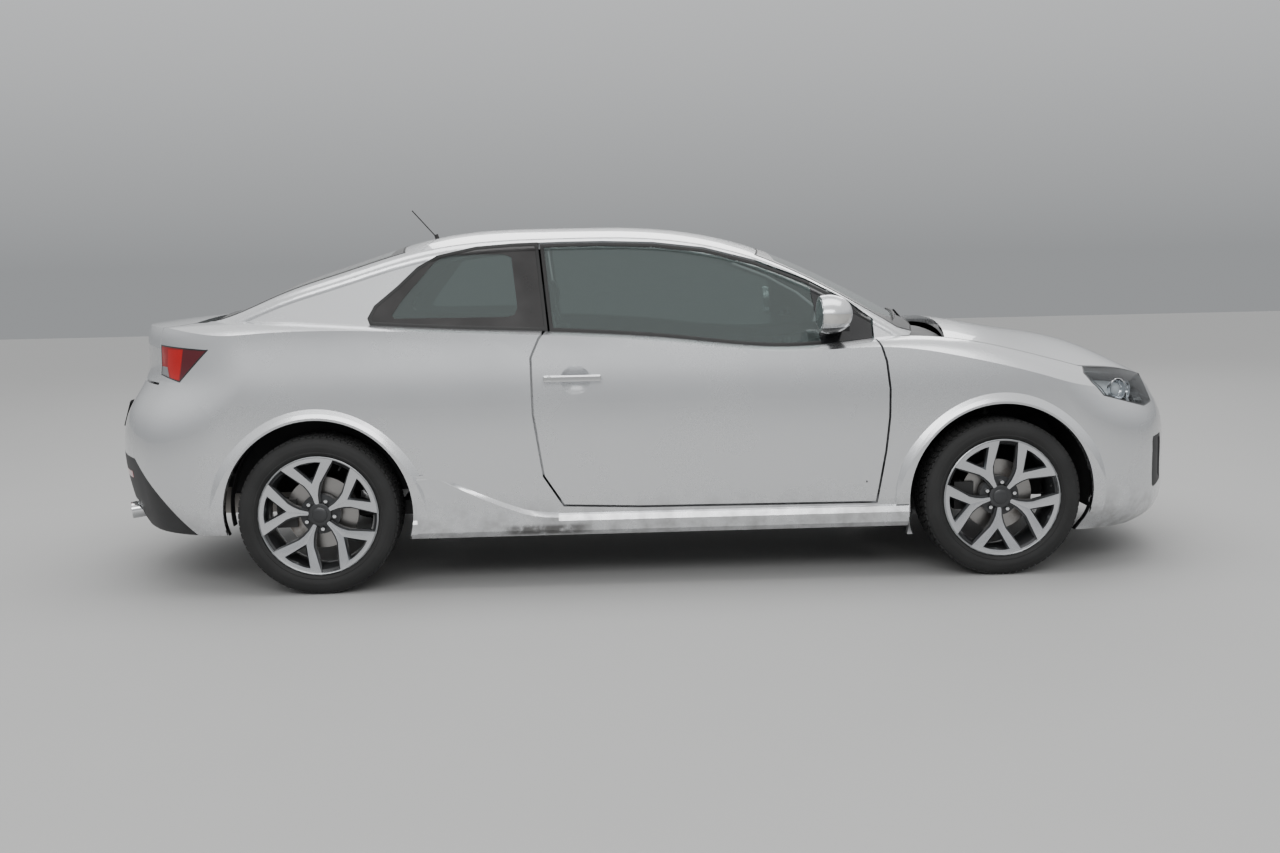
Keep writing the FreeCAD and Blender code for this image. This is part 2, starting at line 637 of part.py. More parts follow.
def caliper(x, sign):
    """Brake caliper astride the disc, behind the axle, with the arm that carries it."""
    y = WHEEL_Y
    inner, outer = DISC_INNER_FACE - PAD_GAP, DISC_OUTER_FACE + PAD_GAP
    jaw = side_box(sign, x - 172.0, x - 95.0, y - 34.0, y + 26.0, WHEEL_Z - 55.0, WHEEL_Z + 55.0)
    slot = side_box(sign, x - 148.0, x - 60.0, y + inner, y + outer, WHEEL_Z - 120.0, WHEEL_Z + 120.0)
    arm = side_box(sign, x - 120.0, x - 20.0, y - 62.0, y + inner, WHEEL_Z - 24.0, WHEEL_Z + 24.0)
    return jaw.cut(slot).fuse(arm)


def spindle(x, sign):
    """Stub axle that the wheel turns on, with the hub carrier behind the disc."""
    inner = WHEEL_Y - 85.0
    return [
        cross_rod(sign, x, inner, WHEEL_Y + SPINDLE_RADIUS - SEAT_GAP, WHEEL_Z, SPINDLE_RADIUS),
        cross_rod(sign, x, inner, WHEEL_Y - HUB_FACE, WHEEL_Z, HUB_CARRIER_RADIUS),
    ]


def knuckle(sign):
    """Front upright with its spindle, strut and brake caliper."""
    x = FRONT_AXLE_X
    low = V(x, sign * BALL_JOINT.y, BALL_JOINT.z + 2.6)
    top = V(x, sign * STRUT_TOP.y, STRUT_TOP.z)
    crook = V(x, sign * 700.0, 395.0)
    foot = V(x, sign * 632.0, 370.0)
    along = top - foot
    along.normalize()
    return fused([
        rod(low, crook, 20.0),
        rod(crook, foot + along * 50.0, 22.0),
        rod(foot, foot + along * 250.0, 26.0),
        rod(foot + along * 240.0, top - along * SEAT_GAP, 11.0),
        *spindle(x, sign),
        caliper(x, sign),
    ])


def front_subframe():
    arms = [side_box(sign, *row) for row in SUBFRAME_ARMS for sign in (1, -1)]
    return fused([box(*SUBFRAME_BEAM), *arms])


def rear_axle_beam():
    """Twist beam with its trailing arms, spindles, calipers and springs."""
    pieces = [box(*REAR_BEAM)]
    for sign in (1, -1):
        pieces += [side_box(sign, *row) for row in REAR_ARMS]
        pieces += spindle(REAR_AXLE_X, sign)
        pieces.append(caliper(REAR_AXLE_X, sign))
        low, high = (V(p.x, sign * p.y, p.z) for p in REAR_SPRING)
        pieces.append(rod(low, high, REAR_SPRING_RADIUS))
    return fused(pieces)


def exhaust():
    points = [V(*p) for p in EXHAUST_ROUTE]
    pieces = [rod(a, b, EXHAUST_RADIUS) for a, b in zip(points, points[1:])]
    pieces += [Part.makeSphere(EXHAUST_RADIUS, p) for p in points[1:-1]]
    y, top = (SILENCER[2] + SILENCER[3]) / 2, SILENCER[5]
    for x in HANGER_X:
        pieces.append(rod(V(x, y, top - HANGER_RADIUS), V(x, y, BOOT_FLOOR_Z - SEAT_GAP), HANGER_RADIUS))
    return fused([*pieces, box(*SILENCER), rod(TIP_START, TIP_END, TIP_RADIUS)])


def seat(y):
    """Front seat: base, cushion, back and head restraint on two posts."""
    def across(row, half):
        return box(row[0], row[1], y - half, y + half, row[2], row[3])
    back = side_prism(SEAT_BACK, y - SEAT_HALF_WIDTH, y + SEAT_HALF_WIDTH)
    head = side_prism(HEAD_REST, y - HEAD_REST_HALF_WIDTH, y + HEAD_REST_HALF_WIDTH)
    posts = [rod(V(-385, y + d, 990), V(-405, y + d, 1060), POST_RADIUS) for d in (-POST_OFFSET, POST_OFFSET)]
    base = across(SEAT_BASE, SEAT_BASE_HALF_WIDTH)
    return fused([across(CUSHION, SEAT_HALF_WIDTH), base, back, head, *posts])


def bench(pan):
    """Rear bench, seated on the boot floor and the heel board."""
    x0, x1, z0, z1 = BENCH_CUSHION
    floor = wide_box(-1200, HEEL_X + 5.0, 2 * BENCH_HALF_WIDTH, 0, BOOT_FLOOR_Z + BOOT_FLOOR_WALL + 1.0)
    cushion = wide_box(x0, x1, BENCH_HALF_WIDTH, z0, z1)
    back = side_prism(BENCH_BACK, -BENCH_HALF_WIDTH, BENCH_HALF_WIDTH)
    return cushion.fuse(back).cut(floor).cut(pan)


def steering_wheel():
    hub = STEERING_HUB
    ring = Part.makeTorus(STEERING_RADIUS, STEERING_GRIP, hub, COLUMN_SLOPE * -1)
    boss = Part.makeCylinder(45, 30, hub - COLUMN_SLOPE * 15, COLUMN_SLOPE)
    across = V(0, STEERING_RADIUS - 5.0, 0)
    return fused([ring, boss, rod(hub, hub + COLUMN_SLOPE * 160, 24.0), rod(hub - across, hub + across, 11.0)])


def antenna():
    foot = rod(*ANTENNA_FOOT, 9.0).cut(greenhouse_solid())
    return foot.fuse(rod(*ANTENNA_MAST, 2.5))


def mirror_head(sign):
    """Door mirror: a shell that is flat where its glass faces rearwards, on an arm from the window's corner."""
    loops = []
    for x, half_width, half_height in MIRROR_STATIONS:
        centre = V(x, sign * MIRROR_Y, MIRROR_Z)
        oval = Part.Ellipse(centre + V(0, half_width, 0), centre + V(0, 0, half_height), centre)
        loops.append(Part.Wire(oval.toShape()))
    shell = Part.makeLoft(loops, True, False, False, LOFT_DEGREE)
    return shell.fuse(side_box(sign, *MIRROR_ARM)).cut(side_solid().common(greenhouse_solid()))


def door_handle(sign, lower):
    half = HANDLE_HALF_HEIGHT
    bar = side_box(sign, HANDLE_REAR, HANDLE_FRONT, HANDLE_INNER_Y, HANDLE_OUTER_Y, HANDLE_Z - half, HANDLE_Z + half)
    bar = bar.makeFillet(HANDLE_ROUND, bar.Edges)
    feet = [side_box(sign, a, b, 800.0, HANDLE_INNER_Y + 8.0, HANDLE_Z - 9.0, HANDLE_Z + 9.0) for a, b in HANDLE_FEET]
    return bar.multiFuse(feet).cut(lower)


def wheel_well(x, radius, inner_y, skin_limit):
    """Liner over a wheel on both sides: half a drum and its inner wall."""
    inside = wide_box(x - 500, x + 500, inner_y, -200, 900)
    band = drum(radius, x).cut(drum(radius - LINER_WALL, x)).cut(inside)
    wall = drum(radius, x).common(box(x - 500, x + 500, inner_y, inner_y + LINER_WALL, -200, 900))
    liner = band.fuse(both_sides(wall))
    return liner.common(wide_box(x - 500, x + 500, WIDE, 245, 900)).common(skin_limit)


def arch_flares(inner):
    """Rolled lips standing out round the four wheel arches."""
    rings = []
    for x in (FRONT_AXLE_X, REAR_AXLE_X):
        points = [V(x, y, ARCH_Z + ARCH_RADIUS + out) for out, y in FLARE_SECTION]
        ring = Part.Face(path(points)).revolve(V(x, 0, ARCH_Z), V(0, 1, 0), 360)
        rings.append(ring.common(box(x - 600, x + 600, 0, WIDE, FLARE_BOTTOM, 900)))
    return both_sides(fused(rings).common(side_solid(-FLARE_STAND))).cut(inner)


def platform(inner, post):
    """Floor, tunnel, firewall, rails, strut towers, wheel wells, boot floor and the hood's hinge brackets."""
    tunnel_space = box(HEEL_X - 120, FIREWALL_X + 25, -TUNNEL_HALF_WIDTH + TUNNEL_WALL,
                       TUNNEL_HALF_WIDTH - TUNNEL_WALL, 100, TUNNEL_TOP - TUNNEL_WALL)
    tunnel = wide_box(HEEL_X, FIREWALL_X, TUNNEL_HALF_WIDTH, FLOOR_BOTTOM, TUNNEL_TOP).cut(tunnel_space)
    pieces = [wide_box(x0, x1, FLOOR_HALF_WIDTH, z0, z1) for x0, x1, z0, z1 in FLOOR_PLATES]
    firewall_top = wide_box(FIREWALL_X, FIREWALL_X + SHEET, COWL_HALF_WIDTH, 860, 960)
    pieces.append(firewall_top.common(deck_solid(COWL_DROP + COWL_WALL + SEAT_GAP)))
    pieces += [wide_box(*row) for row in CROSSBEAMS]
    pieces += [both_sides(box(*row)) for row in RAILS]
    pieces.append(both_sides(side_prism(UPPER_RAIL, *UPPER_RAIL_Y)))
    pieces.append(both_sides(side_prism(RAIL_BRACE, *RAIL_BRACE_Y)))
    rear_wells = wheel_well(REAR_AXLE_X, REAR_WELL_RADIUS, REAR_WELL_INNER, inner)
    rear_space = drum(REAR_WELL_RADIUS, REAR_AXLE_X).cut(wide_box(-2400, -400, REAR_WELL_INNER, -200, 900))
    shape = fused(pieces).cut(tunnel_space).common(inner).fuse(tunnel).cut(rear_space)
    front_wells = wheel_well(FRONT_AXLE_X, FRONT_WELL_RADIUS, FRONT_WELL_INNER, inner)
    strut_hole = both_sides(Part.makeCylinder(64, 200, V(STRUT_TOP.x, 606, 620)))
    rear_wells = rear_wells.cut(wide_box(-2400, -400, REAR_WELL_INNER + 20, 0, 366))
    rear_wells = rear_wells.common(wide_box(-2400, -400, FLOOR_HALF_WIDTH, 0, 900))
    shape = shape.multiFuse([front_wells.cut(strut_hole), rear_wells])
    shape = shape.cut(post).cut(both_sides(box(700, 1000, CABIN_HALF_WIDTH, 900, 100, 300)))
    brackets = []
    for sign in (1, -1):
        x, z = HOOD_HINGE_X, HOOD_HINGE_Z
        brackets.append(cross_rod(sign, x, HOOD_EAR[0] - 6.0, HOOD_EAR[1] + 24.0, z, HOOD_PIN_RADIUS))
        brackets.append(side_box(sign, x - 14, x + 14, HOOD_EAR[1] + 16.0, HOOD_EAR[1] + 26.0, 760, z + 7))
    return shape.multiFuse(brackets)


def lid_ear(sign, span, x, z, radius, pin_radius, arm):
    """Hinge barrel under a lid, with the arm that joins it to the skin."""
    y0, y1 = span
    ear = cross_rod(sign, x, y0, y1, z, radius).fuse(side_box(sign, arm[0], arm[1], y0, y1, arm[2], arm[3]))
    return ear.cut(cross_rod(sign, x, y0 - 50, y1 + 50, z, pin_radius + PIN_PLAY))


def parcel_shelf():
    """Shelf under the rear window, with the trunk lid's hinge pins."""
    shelf = deck_solid(SHELF_DROP).cut(deck_solid(SHELF_DROP + SHELF_WALL)).common(side_solid())
    shelf = shelf.common(wide_box(TRUNK_HINGE_X - 4.0, -1030, CABIN_HALF_WIDTH - SEAT_GAP, 700, 1100))
    pillars = greenhouse_solid(-1.0).cut(greenhouse_solid(ROOF_WALL + SEAT_GAP))
    shelf = shelf.cut(pillars.common(wide_box(-1640, -1000, 800, 600, SKY)))
    x, z = TRUNK_HINGE_X, TRUNK_HINGE_Z
    for sign in (1, -1):
        shelf = shelf.fuse(cross_rod(sign, x, TRUNK_EAR[0] - 10.0, TRUNK_EAR[1] + 10.0, z, TRUNK_PIN_RADIUS))
        foot = side_box(sign, x - 5, x + 9, TRUNK_EAR[1] + 6.0, TRUNK_EAR[1] + 12.0, z - 30, z + 5)
        shelf = shelf.fuse(foot)
    return shelf


def build_wheels():
    for end, x, turn in (("front", FRONT_AXLE_X, FRONT_SPOKE_TURN), ("rear", REAR_AXLE_X, REAR_SPOKE_TURN)):
        for name, sign in (("left", 1), ("right", -1)):
            save(f"tyre_{end}_{name}", tyre(x, sign * WHEEL_Y))
            save(f"rim_{end}_{name}", rim(x, sign, turn))
            save(f"brake_disc_{end}_{name}", brake_disc(x, sign))


def build_bumpers(body, inner, under, flares, hood_hole):
    """Both bumpers with their openings, and the black inserts and slats behind those."""
    ahead, behind = (1800, 2400), (-2400, -1950)
    front_ports = [front_prism(outline, *ahead) for outline in (UPPER_GRILLE, LOWER_GRILLE)]
    front_ports.append(both_sides(front_prism(FOG_SLOT, *ahead)))
    ports = fused([*front_ports, front_prism(DIFFUSER, *behind)])
    recess = side_solid(INSERT_DEPTH).common(deck_solid(INSERT_DEPTH)).cut(side_solid(INSERT_DEPTH + INSERT_WALL))
    bars = fused([wide_box(1900, 2400, SLAT_HALF_WIDTH, z, z + SLAT_WALL) for z in SLAT_HEIGHTS])
    slats = side_solid(SLAT_SET_BACK).cut(side_solid(SKIN)).common(bars).common(ports)
    along = TIP_END - TIP_START
    tip_hole = rod(TIP_START, TIP_START + along * 2.2, TIP_RADIUS + TIP_CLEARANCE)
    save("bumper_inserts", recess.common(ports).cut(under).fuse(slats).cut(tip_hole))
    ports = ports.cut(hood_hole)
    front_zone, rear_zone = full_zone(FRONT_BUMPER_LINE), full_zone(REAR_BUMPER_LINE)
    save("front_bumper", cut_all(body.common(front_zone).fuse(flares.common(front_zone)), ports))
    save("rear_bumper", cut_all(body.common(rear_zone).fuse(flares.common(rear_zone)), tip_hole, ports))


def build_glass_and_roof(side, green, outer, lower):
    """Roof panel, the fixed windows in one node, and the two door panes; gives back the pillars' frames."""
    glass_skin = side.common(green).cut(greenhouse_solid(GLASS)).cut(lower)
    roof_skin = outer.cut(greenhouse_solid(ROOF_WALL)).cut(lower)
    screen_zone = plan_zone(WINDSCREEN_PLAN, 800, SKY)
    back_zone = plan_zone(REAR_WINDOW_PLAN, 900, SKY)
    roof_zone = plan_zone(ROOF_PLAN, 1100, SKY)
    side_windows = side_zone(WINDOW_LINE, 450, WIDE)
    save("roof_panel", roof_skin.common(roof_zone))
    door_pane = glass_skin.common(side_zone(WINDOW_LINE, 450, WIDE, -SHUT))
    door_pane = door_pane.common(side_zone(PANE_SPLIT, 450, WIDE, -HALF_SHUT))
    quarter_pane = glass_skin.common(side_windows).cut(side_zone(PANE_SPLIT, 450, WIDE, HALF_SHUT))
    screens = [glass_skin.common(screen_zone), glass_skin.common(back_zone)]
    save("fixed_windows", Part.makeCompound([*screens, *quarter_pane.Solids]))
    frames = cut_all(roof_skin, screen_zone, back_zone, roof_zone, side_windows)
    return door_pane, frames, side_windows


def build_side_panels(flank, frames, post, lips):
    """Quarter, roof rail, screen pillar and sill of each side in one panel, with the door's hinge pins."""
    flap_x, flap_z = FUEL_FLAP
    for name, sign in (("left", 1), ("right", -1)):
        hinge = V(DOOR_HINGE_X, sign * DOOR_HINGE_Y, 240)
        sweep = Part.makeCylinder(DOOR_NOSE_RADIUS + DOOR_NOSE_GAP, 900, hinge)
        pieces = [one_side(frames, sign), one_side(post, sign).cut(sweep), one_side(lips, sign)]
        for height in DOOR_HINGE_HEIGHTS:
            low = V(hinge.x, hinge.y, height - DOOR_PIN_HALF)
            pieces.append(Part.makeCylinder(DOOR_PIN_RADIUS, 2 * DOOR_PIN_HALF, low))
            arm = (hinge.x - 8, hinge.x + 8, 740.0, DOOR_HINGE_Y, height - 18, height + 18)
            pieces.append(side_box(sign, *arm))
        panel = one_side(flank, sign).multiFuse(pieces)
        if sign > 0:
            groove = Part.makeCylinder(FUEL_FLAP_RADIUS + FUEL_FLAP_GROOVE, 60, V(flap_x, 857, flap_z), V(0, 1, 0))
            panel = panel.cut(groove.cut(Part.makeCylinder(FUEL_FLAP_RADIUS, 60, V(flap_x, 857, flap_z), V(0, 1, 0))))
        save(f"side_panel_{name}", panel)


def build_doors(lower, door_pane):
    """Door leaves with their hinge sleeves, panes, mirrors and handles."""
    leaf = lower.common(side_zone(DOOR_LINE, DOOR_INNER_Y, WIDE, -HALF_SHUT))
    for name, sign in (("left", 1), ("right", -1)):
        hinge = V(DOOR_HINGE_X, sign * DOOR_HINGE_Y, SILL_BOTTOM)
        nose = Part.makeCylinder(DOOR_NOSE_RADIUS, 1000, hinge)
        behind = wide_box(-800, hinge.x, WIDE, SILL_BOTTOM, SKY)
        door = one_side(leaf, sign).common(nose.fuse(behind))
        for height in DOOR_HINGE_HEIGHTS:
            notch = (hinge.x - 34, 1000, 700.0, DOOR_HINGE_Y + 8.0, height - 24, height + 24)
            sleeve = Part.makeCylinder(DOOR_PIN_RADIUS + SEAT_GAP, 100, V(hinge.x, hinge.y, height - 50))
            door = cut_all(door, side_box(sign, *notch), sleeve)
        x, y, z = BOWL_CENTRE
        save(f"door_{name}", door.cut(Part.makeSphere(BOWL_RADIUS, V(x, sign * y, z))))
        save(f"door_glass_{name}", one_side(door_pane, sign))
        save(f"mirror_{name}", mirror_head(sign))
        save(f"door_handle_{name}", door_handle(sign, lower))


def build_lids(shell):
    """Hood and trunk lid, each with two hinge barrels."""
    hood = [shell.common(plan_zone(HOOD_PLAN, 620, 1300, -HALF_SHUT))]
    trunk = [shell.common(plan_zone(TRUNK_PLAN, TRUNK_EDGE_Z + HALF_SHUT, 1300, -HALF_SHUT))]
    for sign in (1, -1):
        x, z = HOOD_HINGE_X, HOOD_HINGE_Z
        hood.append(lid_ear(sign, HOOD_EAR, x, z, 14.0, HOOD_PIN_RADIUS, (x, x + 150, z - 14, z + 8)))
        x, z = TRUNK_HINGE_X, TRUNK_HINGE_Z
        trunk.append(lid_ear(sign, TRUNK_EAR, x, z, 9.0, TRUNK_PIN_RADIUS, (x - 22, x, z - 7, z + 7)))
    save("hood", fused(hood))
    save("trunk_lid", fused(trunk))


def build_body():
    """Everything that is cut from the body's surfaces."""
    side, deck, green = side_solid(), deck_solid(), greenhouse_solid()
    lower = side.common(deck)
    outer = side.common(green).fuse(lower)
    inner = side_solid(SKIN).common(deck_solid(SKIN))
    shell = lower.cut(inner)

    arches = fused([drum(ARCH_RADIUS, x).cut(wide_box(x - 500, x + 500, ARCH_DEPTH_Y, -200, 900))
                    for x in (FRONT_AXLE_X, REAR_AXLE_X)])
    under = fused([
        wide_box(-2400, -930, WIDE, 0, REAR_EDGE),
        wide_box(-930, 1000, WIDE, 0, SILL_BOTTOM),
        wide_box(1000, 2400, WIDE, 0, FRONT_EDGE),
    ])
    hood_hole = plan_zone(HOOD_PLAN, 620, 1300, HALF_SHUT)
    trunk_hole = plan_zone(TRUNK_PLAN, TRUNK_EDGE_Z - HALF_SHUT, 1300, HALF_SHUT)
    door_hole = side_zone(DOOR_LINE, DOOR_INNER_Y - HALF_SHUT, WIDE, HALF_SHUT)
    head_zone = side_zone(HEADLAMP_LINE, 380, WIDE)
    tail_zone = side_zone(TAIL_LAMP_LINE, 470, WIDE)
    fender_zone = full_zone(FENDER_LINE)
    front_zone, rear_zone = full_zone(FRONT_BUMPER_LINE), full_zone(REAR_BUMPER_LINE)

    body = cut_all(shell, hood_hole, trunk_hole, under, arches)
    save("headlamps", body.common(head_zone))
    save("tail_lamps", body.common(tail_zone))
    body = cut_all(body, head_zone, tail_zone)
    flares = arch_flares(inner)
    build_bumpers(body, inner, under, flares, hood_hole)

    door_pane, frames, side_windows = build_glass_and_roof(side, green, outer, lower)
    post = both_sides(box(790, 985, CABIN_HALF_WIDTH, 745, 250, 1060))
    post = cut_all(post.common(outer), side_windows, door_hole, arches)
    wings = cut_all(body.common(fender_zone), front_zone, door_hole, post)
    wings = wings.cut(wide_box(880, 1300, FLOOR_HALF_WIDTH + 11.5, 60, 1300))
    wings = wings.fuse(flares.common(fender_zone).cut(front_zone))
    save("front_fender_left", one_side(wings, 1))
    save("front_fender_right", one_side(wings, -1))

    # the gutter round the lower edge of the rear window and the front edge of the trunk lid
    gutter = wide_box(-1900, -1715, 545, 900, WIDE).fuse(wide_box(-1812, -1752, 590, 1000, WIDE))
    cabin = wide_box(-2300, FIREWALL_X, CABIN_HALF_WIDTH, 60, 1400)
    cabin = cabin.fuse(wide_box(FIREWALL_X, 1300, CABIN_HALF_WIDTH, 60, 1400))
    cabin_air = greenhouse_solid(ROOF_WALL).common(wide_box(-1800, 1150, CABIN_HALF_WIDTH, GREENHOUSE_BASE_Z, 1400))
    door_opening = both_sides(box(-430, 790, DOOR_CARD_Y, 760, 330, 1100))
    flank = lower.common(wide_box(-2400, 1000, WIDE, 0, 1500)).cut(inner.common(cabin)).cut(cabin_air)
    flank = cut_all(flank, fender_zone, trunk_hole, under, arches, tail_zone, rear_zone, door_hole, door_opening)
    flank = cut_all(flank, gutter, wide_box(-1820, FIREWALL_X, 545, 800, WIDE),
                    wide_box(880, 1300, FLOOR_HALF_WIDTH - 3.0, 60, WIDE))
    skirts = cut_all(both_sides(front_prism(SKIRT_SECTION, -1000, 1040)), arches, door_hole, fender_zone)
    lips = flares.common(wide_box(-2000, 0, WIDE, 0, 900)).cut(rear_zone).fuse(skirts)
    build_side_panels(flank, frames.cut(gutter), post, lips)
    build_doors(lower, door_pane)
    build_lids(shell)

    cowl_plan = wide_box(FIREWALL_X, 1115, COWL_HALF_WIDTH, 700, 1100).fuse(wide_box(1100, 1215, 560, 700, 1100))
    save("cowl", deck_solid(COWL_DROP).cut(deck_solid(COWL_DROP + COWL_WALL)).common(side).common(cowl_plan))
    save("parcel_shelf", parcel_shelf())
    pan = platform(inner, post)
    save("floor_pan", pan)
    return pan


def main():
    os.makedirs("parts", exist_ok=True)
    pan = build_body()
    build_wheels()
    save("knuckle_left", knuckle(1))
    save("knuckle_right", knuckle(-1))
    save("front_subframe", front_subframe())
    save("rear_axle_beam", rear_axle_beam())
    save("engine_block", box(*ENGINE))
    save("exhaust", exhaust())
    wheel = steering_wheel()
    save("steering_wheel", wheel)
    save("dashboard", side_prism(DASH, -DASH_HALF_WIDTH, DASH_HALF_WIDTH).cut(wheel))
    save("seats", Part.makeCompound([seat(FRONT_SEAT_Y), seat(-FRONT_SEAT_Y), bench(pan)]))
    save("antenna", antenna())


main()
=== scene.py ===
import json
import math

import bmesh
import bpy
from mathutils import Matrix, Vector
from mathutils.bvhtree import BVHTree
from mathutils.interpolate import poly_3d_calc


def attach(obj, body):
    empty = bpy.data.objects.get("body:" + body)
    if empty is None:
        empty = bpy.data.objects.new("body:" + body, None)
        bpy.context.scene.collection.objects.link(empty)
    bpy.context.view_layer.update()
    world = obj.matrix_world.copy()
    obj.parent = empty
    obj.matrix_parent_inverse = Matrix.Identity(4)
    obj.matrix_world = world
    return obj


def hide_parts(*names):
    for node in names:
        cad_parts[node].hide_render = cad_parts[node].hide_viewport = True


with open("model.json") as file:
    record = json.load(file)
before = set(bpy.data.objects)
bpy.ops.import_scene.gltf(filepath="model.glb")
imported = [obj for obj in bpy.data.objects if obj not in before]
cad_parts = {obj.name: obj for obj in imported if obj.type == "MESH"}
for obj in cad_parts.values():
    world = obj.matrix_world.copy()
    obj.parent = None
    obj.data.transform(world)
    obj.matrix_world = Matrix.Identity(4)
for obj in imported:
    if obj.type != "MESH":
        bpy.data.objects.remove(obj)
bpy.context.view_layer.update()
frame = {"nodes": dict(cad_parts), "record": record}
nodes = frame["nodes"]
slotOf = {part["node"]: part["material_slot"] for part in frame["record"]["subparts"]}
print("frame loaded:", len(nodes), "nodes")

sides = (("left", 1), ("right", -1))
mm = 0.001
wheelRadius, wheelOut = 0.308, 0.7715
axles = {"front": 1.35, "rear": -1.30}


# a socket that does arithmetic
class Signal:
    def __init__(self, tree, socket):
        self.tree = tree
        self.socket = socket

    def other(self, name):
        return Signal(self.tree, self.socket.node.outputs[name])

    def maths(self, operation, *values):
        settings = {"operation": operation}
        return addNode(self.tree, "ShaderNodeMath", settings, dict(enumerate(values)))

    def __add__(self, value):
        return self.maths("ADD", self, value)

    def __radd__(self, value):
        return self.maths("ADD", value, self)

    def __sub__(self, value):
        return self.maths("SUBTRACT", self, value)

    def __rsub__(self, value):
        return self.maths("SUBTRACT", value, self)

    def __mul__(self, value):
        return self.maths("MULTIPLY", self, value)

    def __rmul__(self, value):
        return self.maths("MULTIPLY", value, self)

    def __truediv__(self, value):
        return self.maths("DIVIDE", self, value)

    def __pow__(self, value):
        return self.maths("POWER", self, value)

    def __gt__(self, value):
        return self.maths("GREATER_THAN", self, value)

    def __lt__(self, value):
        return self.maths("LESS_THAN", self, value)

    def clamped(self):
        return self.maths("MINIMUM", self.maths("MAXIMUM", self, 0.0), 1.0)

    def ramp(self, low, high):
        # 0 below low, 1 above high, smooth between; high may be the smaller
        inputs = {"Value": self, "From Min": low, "From Max": high}
        return addNode(self.tree, "ShaderNodeMapRange", {"interpolation_type": "SMOOTHSTEP"}, inputs)


def addNode(tree, kind, settings=None, inputs=None, output=0):
    node = tree.nodes.new(kind)
    for name, value in (settings or {}).items():
        if name == "stops":
            elements = node.color_ramp.elements
            while len(elements) < len(value):
                elements.new(1.0)
            for element, (position, colour) in zip(elements, value):
                element.position = position
                element.color = (*colour, 1.0)
        else:
            setattr(node, name, value)
    for name, value in (inputs or {}).items():
        if isinstance(value, Signal):
            tree.links.new(value.socket, node.inputs[name])
        else:
            node.inputs[name].default_value = value
    return Signal(tree, node.outputs[output])


class Finish:
    # one material: its tree, object coordinates and the shader's own sockets
    def __init__(self, name, **sockets):
        self.material = bpy.data.materials.new(name)
        self.material.use_nodes = True
        self.tree = self.material.node_tree
        self.shader = self.tree.nodes["Principled BSDF"]
        self.place = self.node("ShaderNodeTexCoord", output=3)
        self.set(**sockets)

    def node(self, kind, settings=None, inputs=None, output=0):
        return addNode(self.tree, kind, settings, inputs, output)

    def set(self, **sockets):
        names = {
            "colour": "Base Color", "metallic": "Metallic", "roughness": "Roughness", "coat": "Coat Weight",
            "coatRoughness": "Coat Roughness", "normal": "Normal", "sheen": "Sheen Weight",
            "specular": "Specular IOR Level",
        }
        for key, value in sockets.items():
            socket = self.shader.inputs[names[key]]
            if isinstance(value, Signal):
                self.tree.links.new(value.socket, socket)
            else:
                socket.default_value = (*value, 1.0) if key == "colour" else value

    def axis(self, letter):
        return self.node("ShaderNodeSeparateXYZ", inputs={0: self.place}).other(letter)

    def facing(self, letter):
        normal = self.node("ShaderNodeNewGeometry").other("Normal")
        return self.node("ShaderNodeSeparateXYZ", inputs={0: normal}).other(letter)

    def noise(self, scale, detail=3.0, roughness=0.5):
        inputs = {"Vector": self.place, "Scale": scale, "Detail": detail, "Roughness": roughness}
        return self.node("ShaderNodeTexNoise", inputs=inputs)

    def cells(self, scale):
        return self.node("ShaderNodeTexVoronoi", inputs={"Vector": self.place, "Scale": scale})

    def mix(self, factor, first, second):
        ends = {}
        for index, value in ((6, first), (7, second)):
            ends[index] = value if isinstance(value, Signal) else (*value, 1.0)
        return self.node("ShaderNodeMix", {"data_type": "RGBA"}, {0: factor, **ends}, output=2)

    def bump(self, height, strength, distance):
        inputs = {"Height": height, "Strength": strength, "Distance": distance}
        return self.node("ShaderNodeBump", inputs=inputs)


def paintFinish(name, settings):
    finish = Finish(name, metallic=settings["metallic"], coat=1.0, coatRoughness=0.03)
    fine = finish.noise(settings["fleck"], 1.0)
    along, across, height = (finish.axis(letter) for letter in "XYZ")
    splash = finish.noise(settings["splash"], 5.0, 0.6)
    dirt = (height.ramp(*settings["dirtHeight"]) * splash.ramp(0.35, 0.75) * settings["dirt"]).clamped()
    silver = finish.mix(fine, settings["dark"], settings["light"])
    outer = finish.mix(dirt, silver, settings["dirtColour"])
    # a scraped stretch of the right sill
    scrape = (across < 0.0) * settings["scrape"]
    for coordinate, ends in ((along, settings["scrapeX"]), (height, settings["scrapeZ"])):
        for start, full in ends:
            scrape = scrape * coordinate.ramp(start, full)
    outer = finish.mix(scrape * splash.ramp(0.25, 0.55), outer, settings["scrapeColour"])
    # unpainted black on the inner sides and inside the wheel arches
    inner = finish.facing("Y") * across < settings["innerTurn"]
    under = (finish.facing("Z") < -0.5) * (height > settings["underTop"])
    inner = inner.maths("MAXIMUM", inner, under)
    inside = across.maths("ABSOLUTE", across) < settings["archDepth"]
    for axle in axles.values():
        reach = ((along - axle) ** 2.0 + (height - wheelRadius) ** 2.0) ** 0.5
        inner = inner.maths("MAXIMUM", inner, inside * (reach < settings["archRadius"]))
    inner = inner * settings["lined"]
    finish.set(colour=finish.mix(inner, outer, settings["innerColour"]))
    wet = 0.0
    for scale, size in settings["drops"]:
        wet = finish.cells(scale).ramp(size, size * 0.4) + wet
    patchy, dirty, bare = settings["rougher"]
    rough = finish.noise(3.0, 4.0) * patchy + settings["roughness"] + dirt * dirty
    finish.set(roughness=rough - wet * settings["dropShine"] + inner * bare)
    return finish.material


